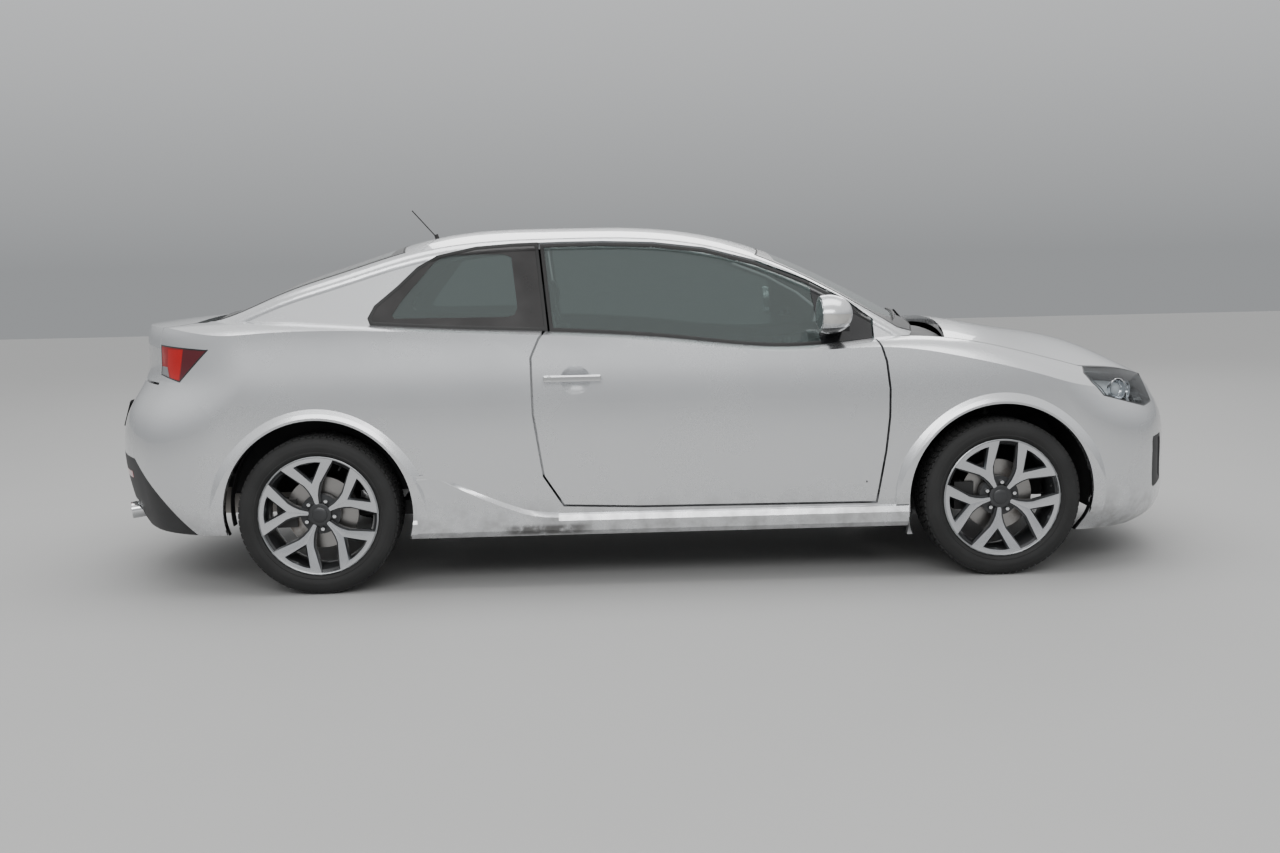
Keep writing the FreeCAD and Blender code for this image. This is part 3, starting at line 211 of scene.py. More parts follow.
paint = {
    "light": (0.76, 0.77, 0.785), "dark": (0.70, 0.71, 0.725), "metallic": 0.86, "roughness": 0.23,
    "fleck": 900.0, "rougher": (0.08, 0.35, 0.4),  # added by patches, by dirt and on the inner sides
    # dirt: where it starts and where it is at its full strength
    "splash": 14.0, "dirtHeight": (0.40, 0.2), "dirt": 0.45, "dirtColour": (0.10, 0.09, 0.08),
    # the scrape's ends, each with the same two places
    "scrape": 0.8, "scrapeX": ((-0.63, -0.53), (-0.21, -0.33)), "scrapeZ": ((0.202, 0.216), (0.256, 0.238)),
    "scrapeColour": (0.05, 0.046, 0.042),
    "drops": ((150.0, 0.30), (330.0, 0.34)), "dropShine": 0.03,
    "innerColour": (0.02, 0.02, 0.021), "innerTurn": -0.06, "lined": 1.0,
    "archRadius": 0.364, "archDepth": 0.848, "underTop": 0.8,
}
rust = (0.1, 0.07, 0.05)
grainHeight = 0.0004  # metres


def glassFinish(name, tint, body, seeThrough, roughness=0.02, metallic=0.0):
    # a pane: dark gloss over a tinted see-through part, shared out by the angle of view
    finish = Finish(name, colour=body, roughness=roughness, metallic=metallic, specular=0.6)
    clear = finish.node("ShaderNodeBsdfTransparent", inputs={"Color": (*tint, 1.0)})
    grazing = finish.node("ShaderNodeLayerWeight", inputs={"Blend": 0.5}, output=1)
    share = (grazing ** 5.0 * 0.9 + (1.04 - seeThrough)).clamped()
    shader = Signal(finish.tree, finish.shader.outputs[0])
    mixed = finish.node("ShaderNodeMixShader", inputs={0: share, 1: clear, 2: shader})
    finish.tree.links.new(mixed.socket, finish.tree.nodes["Material Output"].inputs["Surface"])
    return finish.material


def plasticFinish(name, colour, roughness=0.55, grain=700.0, strength=0.25, metallic=0.0, coat=0.0):
    finish = Finish(name, metallic=metallic, coat=coat)
    wear = finish.noise(9.0, 5.0)
    worn = tuple(min(1.0, c * 1.45 + 0.004) for c in colour)
    finish.set(colour=finish.mix(wear.ramp(0.35, 0.8), colour, worn))
    finish.set(roughness=wear * 0.16 + (roughness - 0.08))
    finish.set(normal=finish.bump(finish.noise(grain, 2.0), strength, grainHeight))
    return finish.material


def metalFinish(name, colour, roughness=0.25, strength=0.05, spots=0.0):
    finish = Finish(name, metallic=1.0)
    wear = finish.noise(11.0, 6.0, 0.6)
    stain = (wear.ramp(0.5, 0.72) * spots).clamped()
    finish.set(colour=finish.mix(stain, colour, rust))
    finish.set(roughness=wear * 0.14 + (roughness - 0.07) + stain * 0.3)
    finish.set(normal=finish.bump(finish.noise(400.0), strength, grainHeight))
    return finish.material


def clothFinish(name, dark, light, pitch=0.0016):
    finish = Finish(name, roughness=0.9, sheen=0.1)
    inputs = {"Vector": finish.place, "Scale": 1.0 / pitch / math.tau * 1.6, "Distortion": 0.6}
    wave = "ShaderNodeTexWave"
    warp, weft = (finish.node(wave, {"bands_direction": way}, inputs, output=1) for way in "XY")
    weave = warp * 0.5 + weft * 0.5
    patch = finish.noise(35.0, 4.0)
    finish.set(colour=finish.mix(weave * 0.6 + patch * 0.4, dark, light))
    finish.set(normal=finish.bump(weave, 0.35, 0.00012))
    return finish.material


finishes = {
    "body_paint": paintFinish("silverPaint", paint),
    # the panes' surface colour is a light grey-green: painted reflection that brightens the glass like the
    # sky's reflections
    "window_glass": glassFinish("tintedGlass", (0.60, 0.66, 0.65), (0.30, 0.335, 0.33), 0.78, metallic=0.6),
    "clear_lens": glassFinish("clearLens", (0.93, 0.95, 0.96), (0.03, 0.03, 0.032), 0.93),
    "red_lens": plasticFinish("redLens", (0.35, 0.01, 0.012), 0.12, strength=0.0, coat=1.0),
    "tyre_rubber": plasticFinish("tyreRubber", (0.012, 0.012, 0.012), 0.72, 500.0),
    "alloy": metalFinish("machinedAlloy", (0.62, 0.63, 0.65), 0.24),
    "disc_iron": metalFinish("discIron", (0.34, 0.33, 0.32), 0.32, spots=0.6),
    "chassis_black": plasticFinish("chassisBlack", (0.02, 0.02, 0.02), 0.5, 300.0),
    "underbody": plasticFinish("undersealBlack", (0.016, 0.016, 0.017), 0.85, 180.0, 0.6),
    "steel": metalFinish("exhaustSteel", (0.38, 0.36, 0.34), 0.38, spots=0.8),
    "cast_metal": metalFinish("castMetal", (0.25, 0.25, 0.25), 0.55, strength=0.4, spots=0.4),
    "mirror_shell": paintFinish("mirrorPaint", {**paint, "dirt": 0.0, "lined": 0.0}),
    "chrome_trim": metalFinish("brightChrome", (0.78, 0.79, 0.80), 0.08),
    "seat_cloth": clothFinish("seatCloth", (0.02, 0.02, 0.022), (0.07, 0.07, 0.075)),
    "black_rubber": plasticFinish("blackRubber", (0.012, 0.012, 0.012), 0.65, 600.0),
    "black_plastic": plasticFinish("trimPlastic", (0.015, 0.015, 0.016), 0.55),
}
plastic, rubber, chrome = (finishes[slot] for slot in ("black_plastic", "black_rubber", "chrome_trim"))
steel, alloy = finishes["steel"], finishes["alloy"]
for name, node in nodes.items():
    node.data.materials.clear()
    node.data.materials.append(finishes[slotOf[name]])
print("finishes laid on the CAD nodes")


# points and faces of one piece, each face with the number of its finish
class Shape:
    def __init__(self):
        self.points = []
        self.faces = []
        self.paints = []

    def add(self, points, faces, paint=0):
        base = len(self.points)
        self.points += [Vector(p) for p in points]
        self.faces += [[base + i for i in face] for face in faces]
        self.paints += list(paint) if isinstance(paint, (list, tuple)) else [paint] * len(faces)

    def join(self, other):
        self.add(other.points, other.faces, other.paints)

    def loft(self, rings, paint=0, closed=True, capped=True, looped=False):
        # skin over rings of equal length; paint may be a list with one number per strip along the ring
        count = len(rings[0])
        faces, paints = [], []
        spans = count if closed else count - 1
        for i in range(len(rings) if looped else len(rings) - 1):
            for j in range(spans):
                a, b = i * count, ((i + 1) % len(rings)) * count
                k = (j + 1) % count
                faces.append((a + j, a + k, b + k, b + j))
                paints.append(paint[j] if isinstance(paint, (list, tuple)) else paint)
        if capped and closed and not looped:
            last = (len(rings) - 1) * count
            faces.append(tuple(reversed(range(count))))
            faces.append(tuple(range(last, last + count)))
            paints += [paints[0], paints[0]]
        self.add([p for ring in rings for p in ring], faces, paints)

    def spin(self, profile, steps, paint=0, closed=True):
        # turn (radius, offset) round the Y axis
        rings = []
        for i in range(steps):
            angle = math.tau * i / steps
            rings.append([Vector((r * math.sin(angle), w, r * math.cos(angle))) for r, w in profile])
        self.loft(rings, paint, closed, False, True)

    def block(self, low, high, paint=0):
        (x0, y0, z0), (x1, y1, z1) = low, high
        ring = [(x0, y0), (x1, y0), (x1, y1), (x0, y1)]
        self.loft([[Vector((x, y, z)) for x, y in ring] for z in (z0, z1)], paint)

    def tube(self, path, radius, paint=0, sides=10, squash=1.0):
        # a round bar along a path, which may taper
        rings = []
        path = [Vector(p) for p in path]
        for i, p in enumerate(path):
            along = (path[min(i + 1, len(path) - 1)] - path[max(i - 1, 0)]).normalized()
            side = along.cross(Vector((0, 0, 1)))
            side = side.normalized() if side.length > 0.05 else along.cross(Vector((0, 1, 0))).normalized()
            up = side.cross(along)
            r = radius[i] if isinstance(radius, (list, tuple)) else radius
            angles = [math.tau * j / sides for j in range(sides)]
            rings.append([p + side * (r * math.cos(t)) + up * (r * squash * math.sin(t)) for t in angles])
        self.loft(rings, paint)

    def moved(self, matrix, flip=False):
        other = Shape()
        faces = [face[::-1] for face in self.faces] if flip else self.faces
        other.add([matrix @ p for p in self.points], faces, self.paints)
        return other

    def inMetres(self):
        return self.moved(Matrix.Diagonal((mm, mm, mm, 1)))


mirrorY = Matrix.Diagonal((1, -1, 1, 1))


def metres(points):
    return [tuple(v * mm for v in point) for point in points]


def turnBy(degrees, axis="Y"):
    return Matrix.Rotation(math.radians(degrees), 4, axis)


def rounded(half, up, radius, steps=4):
    # an upright oblong with round corners, as (sideways, up) points
    ring = []
    for cy, cz, start in ((half, up, 0), (-half, up, 90), (-half, -up, 180), (half, -up, 270)):
        for k in range(steps + 1):
            angle = math.radians(start + 90 * k / steps)
            ring.append((cy - math.copysign(radius, cy) + math.cos(angle) * radius,
                         cz - math.copysign(radius, cz) + math.sin(angle) * radius))
    return ring


def upright(ring, depths, middle=(0, 0, 0)):
    # rings of one (sideways, up) outline at several places along X
    x, y, z = middle
    return [[Vector((x + depth, y + a, z + b)) for a, b in ring] for depth in depths]


def surfaceNormals(mesh, like):
    # take the smooth normals of the CAD node that the piece lies on
    source = nodes[like].data
    source.calc_loop_triangles()
    triangles = [tuple(triangle.vertices) for triangle in source.loop_triangles]
    places = [vert.co.copy() for vert in source.vertices]
    tree = BVHTree.FromPolygons(places, triangles)
    corners = [normal.vector.copy() for normal in source.corner_normals]
    loops = [tuple(triangle.loops) for triangle in source.loop_triangles]
    normals = []
    for polygon in mesh.polygons:
        for index in polygon.vertices:
            spot = mesh.vertices[index].co
            chosen = polygon.normal.copy()
            best = 0.7
            for place, _, number, _ in tree.find_nearest_range(spot, 0.006)[:12]:
                weights = poly_3d_calc([places[v] for v in triangles[number]], place)
                blend = sum((corners[loop] * w for loop, w in zip(loops[number], weights)), Vector())
                smooth = blend.normalized()
                for option in (smooth, -smooth):
                    match = option.dot(polygon.normal) - (place - spot).length * 8
                    if match > best:
                        best, chosen = match, option
            normals.append(chosen)
    mesh.normals_split_custom_set([tuple(n) for n in normals])


def linked(data, name=None):
    # a new object in the scene for a mesh, camera or light
    thing = bpy.data.objects.new(name or data.name, data)
    bpy.context.scene.collection.objects.link(thing)
    return thing


def makePiece(name, shape, paints, body="body", replaced=(), sharp=35,
              solidify=0.0, like=None):
    # turn a shape into a finished object that rides on its body
    mesh = bpy.data.meshes.new(name)
    mesh.from_pydata(shape.points, [], shape.faces)
    for paint in paints:
        mesh.materials.append(paint)
    mesh.polygons.foreach_set("material_index", shape.paints)
    work = bmesh.new()
    work.from_mesh(mesh)
    bmesh.ops.remove_doubles(work, verts=work.verts, dist=1e-6)
    bmesh.ops.dissolve_degenerate(work, edges=work.edges, dist=1e-7)
    if not like:
        bmesh.ops.recalc_face_normals(work, faces=work.faces)
    if solidify:
        work.normal_update()
        addWall(work, solidify)
    work.to_mesh(mesh)
    work.free()
    mesh.shade_smooth()
    mesh.set_sharp_from_angle(angle=math.radians(sharp))
    if like:
        surfaceNormals(mesh, like)
    piece = linked(mesh, name)
    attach(piece, body)
    if replaced:
        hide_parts(*replaced)
    return piece


def addWall(work, thickness):
    # give an open skin a wall: outwards when positive, inwards when negative
    faces = list(work.faces)
    edges = [edge for edge in work.edges if edge.is_boundary]
    shifted = {vert: work.verts.new(vert.co + vert.normal * thickness) for vert in list(work.verts)}
    for face in faces:
        twin = work.faces.new([shifted[vert] for vert in reversed(face.verts)])
        twin.material_index = face.material_index
    for edge in edges:
        corner = edge.link_loops[0]
        a, b = corner.vert, corner.link_loop_next.vert
        wall = work.faces.new([b, a, shifted[a], shifted[b]])
        wall.material_index = corner.face.material_index
    if thickness > 0:
        bmesh.ops.reverse_faces(work, faces=work.faces)
    work.normal_update()


def nodeGroup(name, inputs):
    # an empty Geometry Nodes tree with named inputs; gives the tree and its group input
    tree = bpy.data.node_groups.new(name, "GeometryNodeTree")
    tree.interface.new_socket("Geometry", in_out="INPUT", socket_type="NodeSocketGeometry")
    for label, kind in inputs:
        tree.interface.new_socket(label, in_out="INPUT", socket_type=kind)
    tree.interface.new_socket("Geometry", in_out="OUTPUT", socket_type="NodeSocketGeometry")
    start = addNode(tree, "NodeGroupInput")
    return tree, start


def finishTree(tree, solid, start):
    # every tree ends in its material and one output
    inputs = {"Geometry": solid, "Material": start.other("Finish")}
    painted = addNode(tree, "GeometryNodeSetMaterial", inputs=inputs)
    end = tree.nodes.new("NodeGroupOutput")
    tree.links.new(painted.socket, end.inputs[0])
    return tree


def plainMesh(thing):
    # what the modifiers make of an object, as a mesh of its own; the object goes
    depsgraph = bpy.context.evaluated_depsgraph_get()
    mesh = bpy.data.meshes.new_from_object(thing.evaluated_get(depsgraph))
    bpy.data.objects.remove(thing)
    return mesh


def applyTree(tree, values):
    # run a tree on an empty mesh and give back the plain mesh it makes
    carrier = linked(bpy.data.meshes.new("carrier"))
    modifier = carrier.modifiers.new("tree", "NODES")
    modifier.node_group = tree
    for item in tree.interface.items_tree:
        if item.in_out == "INPUT" and item.name in values:
            modifier[item.identifier] = values[item.name]
    return plainMesh(carrier)


def meshShape(mesh, paint=0):
    shape = Shape()
    shape.add([v.co.copy() for v in mesh.vertices], [list(p.vertices) for p in mesh.polygons], paint)
    return shape


def ringOfBlocks():
    # copies of one block round the wheel's axis
    inputs = (("Block", "NodeSocketObject"), ("Count", "NodeSocketInt"), ("Phase", "NodeSocketFloat"),
              ("Finish", "NodeSocketMaterial"))
    tree, start = nodeGroup("ringOfBlocks", inputs)
    index = addNode(tree, "GeometryNodeInputIndex")
    angle = (index + start.other("Phase")) * math.tau / start.other("Count")
    points = addNode(tree, "GeometryNodePoints", inputs={"Count": start.other("Count")})
    turn = addNode(tree, "ShaderNodeCombineXYZ", inputs={1: angle})
    block = addNode(tree, "GeometryNodeObjectInfo", inputs={"Object": start.other("Block")}).other("Geometry")
    inputs = {"Points": points, "Instance": block, "Rotation": turn}
    copies = addNode(tree, "GeometryNodeInstanceOnPoints", inputs=inputs)
    return finishTree(tree, addNode(tree, "GeometryNodeRealizeInstances", inputs={0: copies}), start)


# the rims' V spokes, millimetres; each half runs sideways and up from the wheel's centre
vee = {
    "outer": ((7, 44), (11, 75), (19, 100), (30, 122), (55, 150), (80, 178), (104.9, 205.8)),
    "inner": ((0, 42), (0, 74), (0, 100), (0, 124), (18, 150), (36, 176), (53.8, 200.9)),
    "bandAngles": ((18, 10), (9, 5), (0, 0)), "bandRadii": (230.4, 209),
    "heights": ((0, 72), (44, 72), (120, 80), (190, 91), (218, 96), (260, 96)),
    "chamfer": (8, 11), "ledge": (8, 9), "depth": 27, "bandDepth": 14, "crown": 0.8,
    "count": 5, "turn": {"front": 42, "rear": -10},
}
barrel = ((221, 90), (224, 96), (227.5, 97.3), (230.5, 95.5), (230.8, 88), (225, 82), (222, -84), (230, -88),
          (230, -96), (225, -97), (215, -90), (209, -60), (203, -20), (203, 52), (212, 82))
hub = {
    "face": 44, "pad": (78, 52), "cap": (29, 78), "nutRing": 57, "nut": (9.5, 52, 71), "back": 20,
    "valve": ((0, 70, 206), (0, 90, 197), (0, 96, 195)), "valveAngle": 36,
}
tyre = {
    # radius and distance from the tyre's middle plane
    "side": ((222, 80), (230, 90), (236, 97.5), (241, 101), (243, 103.5), (246, 104), (248, 103),
             (256, 105.8), (264, 107.1), (272, 106.8), (274, 106), (276, 106.2), (284, 103.8), (292, 100),
             (298, 96.5), (301.3, 91.5)),
    "crown": ((300.6, 83), (300.4, 40), (300.3, 0)),
    "steps": 90, "tread": 307.4, "foot": 299.4, "slant": 4, "shoulder": (70, 1.2), "edge": 0.8,
    "pitchRadius": 304, "filled": 0.8,
    # offset, width, number of blocks and phase of each row
    "rows": ((0.0, 22, 64, 0.0), (27.5, 21, 66, 0.5), (-27.5, 21, 66, 0.0), (56.5, 24, 68, 0.3),
             (-56.5, 24, 68, 0.8), (83.0, 17, 72, 0.1), (-83.0, 17, 72, 0.6)),
}


def interpolated(table, x):
    for (x0, y0), (x1, y1) in zip(table, table[1:]):
        if x <= x1:
            return y0 + (y1 - y0) * (x - x0) / (x1 - x0)
    return table[-1][1]


def spokeHalf(sign):
    stations = []
    for k, (out, inside) in enumerate(zip(vee["outer"], vee["inner"])):
        window = vee["chamfer"] if k >= 3 else (0, 0)
        ledge = vee["ledge"] if k < len(vee["outer"]) - 1 else (0, 0)
        stations.append((Vector(out), Vector(inside), window, ledge, vee["depth"]))
    for outAngle, inAngle in vee["bandAngles"]:
        angles = [math.radians(angle) for angle in (outAngle, inAngle)]
        pair = [Vector((math.sin(t) * r, math.cos(t) * r)) for t, r in zip(angles, vee["bandRadii"])]
        stations.append((*pair, vee["chamfer"], (0, 0), vee["bandDepth"]))
    rings = []
    for out, inside, window, ledge, depth in stations:
        along = (out - inside).normalized()
        top, low = interpolated(vee["heights"], out.length), interpolated(vee["heights"], inside.length)
        middle = (out + inside) / 2
        far, near = out + along * ledge[0], inside - along * window[0]
        ring = [
            (out, top), (middle, (top + low) / 2 + vee["crown"]), (inside, low), (near, low - window[1]),
            (near, low - depth), (far, top - depth), (far, top - ledge[1]), (out, top - ledge[1]),
        ]
        rings.append([Vector((sign * p.x * mm, h * mm, p.y * mm)) for p, h in ring])
    shape = Shape()
    shape.loft(rings, [0, 0, 1, 2, 2, 2, 2, 2], True, False)
    return shape


def rimShape(turn):
    shape = Shape()
    whole = spokeHalf(1)
    whole.join(spokeHalf(-1))
    for k in range(vee["count"]):
        shape.join(whole.moved(turnBy(turn + 360 * k / vee["count"])))
    shape.spin(metres(barrel), 90, [3] * 3 + [2] * 12)
    pad, height = hub["pad"]
    cap, dome = hub["cap"]
    face, back = hub["face"], hub["back"]
    shape.spin(metres((
        (0, dome), (cap * 0.5, dome - 0.6), (cap * 0.85, dome - 2.2), (cap, dome - 4.5), (cap + 1, dome - 7),
        (face - 4, dome - 6.5), (face, dome - 8), (face, height), (pad, height - 4), (pad, back), (0, back),
    )), 40, 2, True)
    reach, low, high = hub["nut"]
    corners = [(math.sin(math.tau * j / 6), math.cos(math.tau * j / 6)) for j in range(6)]
    levels = ((reach, low), (reach, high - 3), (reach * 0.8, high - 0.6), (reach * 0.35, high))
    nut = Shape()
    nut.loft([[Vector((a * r, h, b * r)) * mm for a, b in corners] for r, h in levels], 4)
    nut = nut.moved(Matrix.Translation((0, 0, hub["nutRing"] * mm)))
    for k in range(vee["count"]):
        shape.join(nut.moved(turnBy(turn + 360 * (k + 0.5) / vee["count"])))
    valve = Shape()
    valve.tube(metres(hub["valve"]), [0.0045, 0.0035, 0.003], 5, 8)
    shape.join(valve.moved(turnBy(turn + hub["valveAngle"])))
    return shape


def tyreShape():
    shape = Shape()
    side, crown = metres(tyre["side"]), metres(tyre["crown"])
    outline = side + crown + [(r, -w) for r, w in reversed(crown[:-1])] + [(r, -w) for r, w in reversed(side)]
    shape.spin(outline, tyre["steps"])
    tree = ringOfBlocks()
    start, drop = tyre["shoulder"]
    edge = tyre["edge"] * mm
    for offset, width, count, phase in tyre["rows"]:
        low, high = tyre["foot"] * mm, (tyre["tread"] - (drop if abs(offset) > start else 0.0)) * mm
        length, half = math.pi * tyre["pitchRadius"] * mm / count * tyre["filled"], width * mm / 2
        slant = math.copysign(tyre["slant"], offset or -1) * mm
        rings = []
        for z, trim in ((low, 0.0), (high - edge, 0.0), (high, edge)):
            a, b = length - trim, half - trim
            ring = ((-a - slant, -b), (a - slant, -b), (a + slant, b), (-a + slant, b))
            rings.append([Vector((x, y, z)) for x, y in ring])
        block = Shape()
        block.loft(rings)
        holder = bpy.data.meshes.new("treadBlock")
        holder.from_pydata(block.points, [], block.faces)
        carrier = linked(holder)
        values = {"Block": carrier, "Count": count, "Phase": phase, "Finish": finishes["tyre_rubber"]}
        made = applyTree(tree, values)
        shape.join(meshShape(made).moved(Matrix.Translation((0, offset * mm, 0))))
        bpy.data.objects.remove(carrier)
    return shape


def makeWheels():
    rimPaints = [
        alloy,
        metalFinish("spokeChamfer", (0.30, 0.31, 0.32), 0.35),
        plasticFinish("darkPocket", (0.03, 0.031, 0.033), 0.4, metallic=0.3, coat=0.3),
        metalFinish("rimLip", (0.40, 0.41, 0.42), 0.3),
        chrome,
        rubber,
    ]
    tyreWhole = tyreShape()
    for end, x in axles.items():
        wheel = rimShape(vee["turn"][end])
        for side, sign in sides:
            # the same V angles show from both sides, so the far wheel is the near one mirrored across the car
            place = Matrix.Translation((x, sign * wheelOut, wheelRadius))
            flip = sign < 0
            turned = place @ (mirrorY if flip else Matrix.Identity(4))
            body = f"wheel_{end}_{side}"
            title = end.capitalize() + side.capitalize()
            for part, whole, paints, slot, sharp in (
                ("tyre", tyreWhole, [finishes["tyre_rubber"]], "tyre_rubber", 30),
                ("rim", wheel, rimPaints, "alloy", 28),
            ):
                old = (f"{part}_{end}_{side}",)
                makePiece(part + title, whole.moved(turned, flip), paints, body, old, sharp)


makeWheels()
print("wheels made")


# the outer faces of a CAD node: they look outwards and the node's inner side lies close behind them
def skinOf(node, outward, wall, least=0.5, kept=None):
    work = bmesh.new()
    work.from_mesh(nodes[node].data)
    bmesh.ops.remove_doubles(work, verts=work.verts, dist=0.00001)
    work.normal_update()
    tree = BVHTree.FromBMesh(work)
    outward = Vector(outward).normalized()
    gone = []
    for face in work.faces:
        middle = face.calc_center_median()
        behind = tree.ray_cast(middle - face.normal * 0.0002, -face.normal, wall)
        if face.normal.dot(outward) < least or behind[0] is None or (kept and not kept(middle)):
            gone.append(face)
    bmesh.ops.delete(work, geom=gone, context="FACES")
    work.normal_update()
    return work


def spread(point, axis):
    a, b = point
    return Vector(((0.0, a, b), (a, 0.0, b), (a, b, 0.0))[axis]) * mm


def sliceAlong(work, outline, axis):
    # cut the faces along a convex outline seen along an axis; gives the test for what lies inside it
    corners = [spread(p, axis) for p in outline]
    centre = sum(corners, Vector()) / len(corners)
    view = Vector([float(i == axis) for i in range(3)])
    planes = []
    for a, b in zip(corners, corners[1:] + corners[:1]):
        side = (b - a).cross(view).normalized()
        if side.dot(centre - a) > 0:
            side.negate()
        geometry = [*work.verts, *work.edges, *work.faces]
        bmesh.ops.bisect_plane(work, geom=geometry, plane_co=a, plane_no=side, dist=1e-6)
        planes.append((a, side))
    work.normal_update()

    def isInside(face):
        middle = face.calc_center_median()
        return all((middle - a).dot(side) < 0 for a, side in planes)
    return isInside


def lifted(faces, height, paint=0):
    # a copy of some faces, moved out along the skin's normals; paint may depend on the face
    shape = Shape()
    index, points = {}, []
    for face in faces:
        for vert in face.verts:
            if vert not in index:
                index[vert] = len(points)
                points.append(vert.co + vert.normal * height)
    paints = [paint(face) if callable(paint) else paint for face in faces]
    shape.add(points, [[index[vert] for vert in face.verts] for face in faces], paints)
    return shape


def outlinesOf(work, step=0.0004):
    # closed loops of (place, normal) round the edge of a skin, with the skin on their left
    following = {}
    for edge in work.edges:
        if edge.is_boundary:
            corner = edge.link_loops[0]
            following[corner.vert] = corner.link_loop_next.vert
    loops = []
    while following:
        first, vert = following.popitem()
        loop = [first]
        while vert is not first and vert in following:
            loop.append(vert)
            vert = following.pop(vert)
        kept = [loop[0]]
        for vert in loop[1:]:
            if (vert.co - kept[-1].co).length > step:
                kept.append(vert)
        if len(kept) > 3:
            loops.append([(vert.co.copy(), vert.normal.copy()) for vert in kept])
    return loops


def beadAlong(loop, profile):
    # a profile of (inwards, outwards) distances run along a closed loop, mitred at its corners
    rings = []
    for i, (place, normal) in enumerate(loop):
        before = place - loop[i - 1][0]
        after = loop[(i + 1) % len(loop)][0] - place
        along = (before.normalized() + after.normalized()).normalized()
        side = normal.cross(along).normalized()
        straight = normal.cross(after).normalized()
        stretch = 1.0 / max(0.6, side.dot(straight))
        rings.append([place + side * (a * stretch * mm) + normal * (b * mm) for a, b in profile])
    shape = Shape()
    shape.loft(rings, looped=True)
    return shape


def beadsRound(work, profile):
    # one bead along every edge of a skin
    shape = Shape()
    for loop in outlinesOf(work):
        shape.join(beadAlong(loop, profile))
    return shape


glossTrim = plasticFinish("glossTrim", (0.007, 0.007, 0.008), 0.2, 60.0, 0.02, coat=0.5)
ceramicBorder = plasticFinish("ceramicBorder", (0.012, 0.011, 0.011), 0.3, 60.0, 0.02)
seal = {
    "side": ((-0.5, 0.1), (-0.5, 1.6), (5, 2.4), (11, 2.2), (13.5, 1.0), (13.5, 0.1)),
    "screen": ((-0.5, 0.1), (-0.5, 1.2), (3, 1.8), (7, 1.4), (8.5, 0.1)),
    "lift": 0.5, "wall": 0.4, "glass": 0.009, "coverLift": 2.6, "coverWall": 2.2,
}
# clear parts inside the printed borders, and the cover at the mirror's foot, millimetres
clearQuarter = ((-1011, 1062), (-968, 1125), (-848, 1265), (-800, 1291), (-575, 1291), (-545, 1277),
                (-522, 1080), (-534, 1056), (-560, 1047), (-1000, 1050))
sailCover = ((627, 1200), (662, 910), (900, 910), (900, 1200))
screens = {
    # which way it looks, whether it lies ahead of or behind x (metres), and its clear part
    "windscreen": ((0.5, 0, 0.85), 1, 0.35, (
        (515, -490), (515, 490), (900, 600), (985, 520), (1045, 300), (1062, 0), (1045, -300), (985, -520),
        (900, -600))),
    "backWindow": ((-0.35, 0, 0.93), -1, -0.9, (
        (-1040, -462), (-1040, 462), (-1646, 496), (-1684, 400), (-1700, 0), (-1684, -400), (-1646, -496))),
}
heater = {
    "lines": 13, "from": -1090, "to": -1630, "half": 440, "steps": 22,
    "width": 0.7, "lift": 0.35, "wall": 0.15,
}


def onSurface(tree, x, y, lift=0.0):
    # the point of a skin straight below (x, y), in metres
    place, normal, _, _ = tree.ray_cast(Vector((x, y, 3.0)), Vector((0, 0, -1)))
    return place + normal * lift if place else None


def addBorder(name, work, clear, axis):
    # the printed edge of a fixed pane, round its clear part
    isInside = sliceAlong(work, clear, axis)
    border = lifted([face for face in work.faces if not isInside(face)], seal["lift"] * mm)
    makePiece(name, border, [ceramicBorder], sharp=50, solidify=-seal["wall"] * mm, like="fixed_windows")
    work.free()


def makeHeater(tree):
    lines = Shape()
    for k in range(heater["lines"]):
        x = heater["from"] + (heater["to"] - heater["from"]) * k / (heater["lines"] - 1)
        rings = []
        for i in range(heater["steps"] + 1):
            y = -heater["half"] + 2 * heater["half"] * i / heater["steps"]
            places = [(x + d) * mm for d in (0, heater["width"])]
            pair = [onSurface(tree, place, y * mm, heater["lift"] * mm) for place in places]
            if all(pair):
                rings.append(pair)
        lines.loft(rings, 0, False, False)
    copper = metalFinish("heaterLine", (0.16, 0.07, 0.04), 0.4)
    makePiece("backWindowHeater", lines, [copper], sharp=32, solidify=heater["wall"] * mm)


def makeWindows():
    for side, sign in sides:
        pane, door = f"door_glass_{side}", f"door_{side}"
        work = skinOf(pane, (0, sign, 0.3), seal["glass"])
        bead = beadsRound(work, seal["side"])
        makePiece("doorGlassSeal_" + side, bead, [rubber], door, sharp=50)
        isInside = sliceAlong(work, sailCover, 1)
        cover = lifted([face for face in work.faces if isInside(face)], seal["coverLift"] * mm)
        makePiece("mirrorSail_" + side, cover, [glossTrim], door, sharp=50, solidify=-seal["coverWall"] * mm,
                  like=pane)
        work.free()

        work = skinOf("fixed_windows", (0, sign, 0.3), seal["glass"], 0.75, lambda p: p.x < -0.35)
        bead = beadsRound(work, seal["side"])
        makePiece("quarterGlassSeal_" + side, bead, [rubber], sharp=50)
        addBorder("quarterBorder_" + side, work, clearQuarter, 1)

    for title, (outward, way, limit, clear) in screens.items():
        work = skinOf("fixed_windows", outward, seal["glass"], 0.6, lambda p: (p.x - limit) * way > 0)
        makePiece(title + "Seal", beadsRound(work, seal["screen"]), [rubber], sharp=50)
        if title == "backWindow":
            makeHeater(BVHTree.FromBMesh(work))
        addBorder(title + "Border", work, clear, 2)


makeWindows()
print("window seals and borders made")


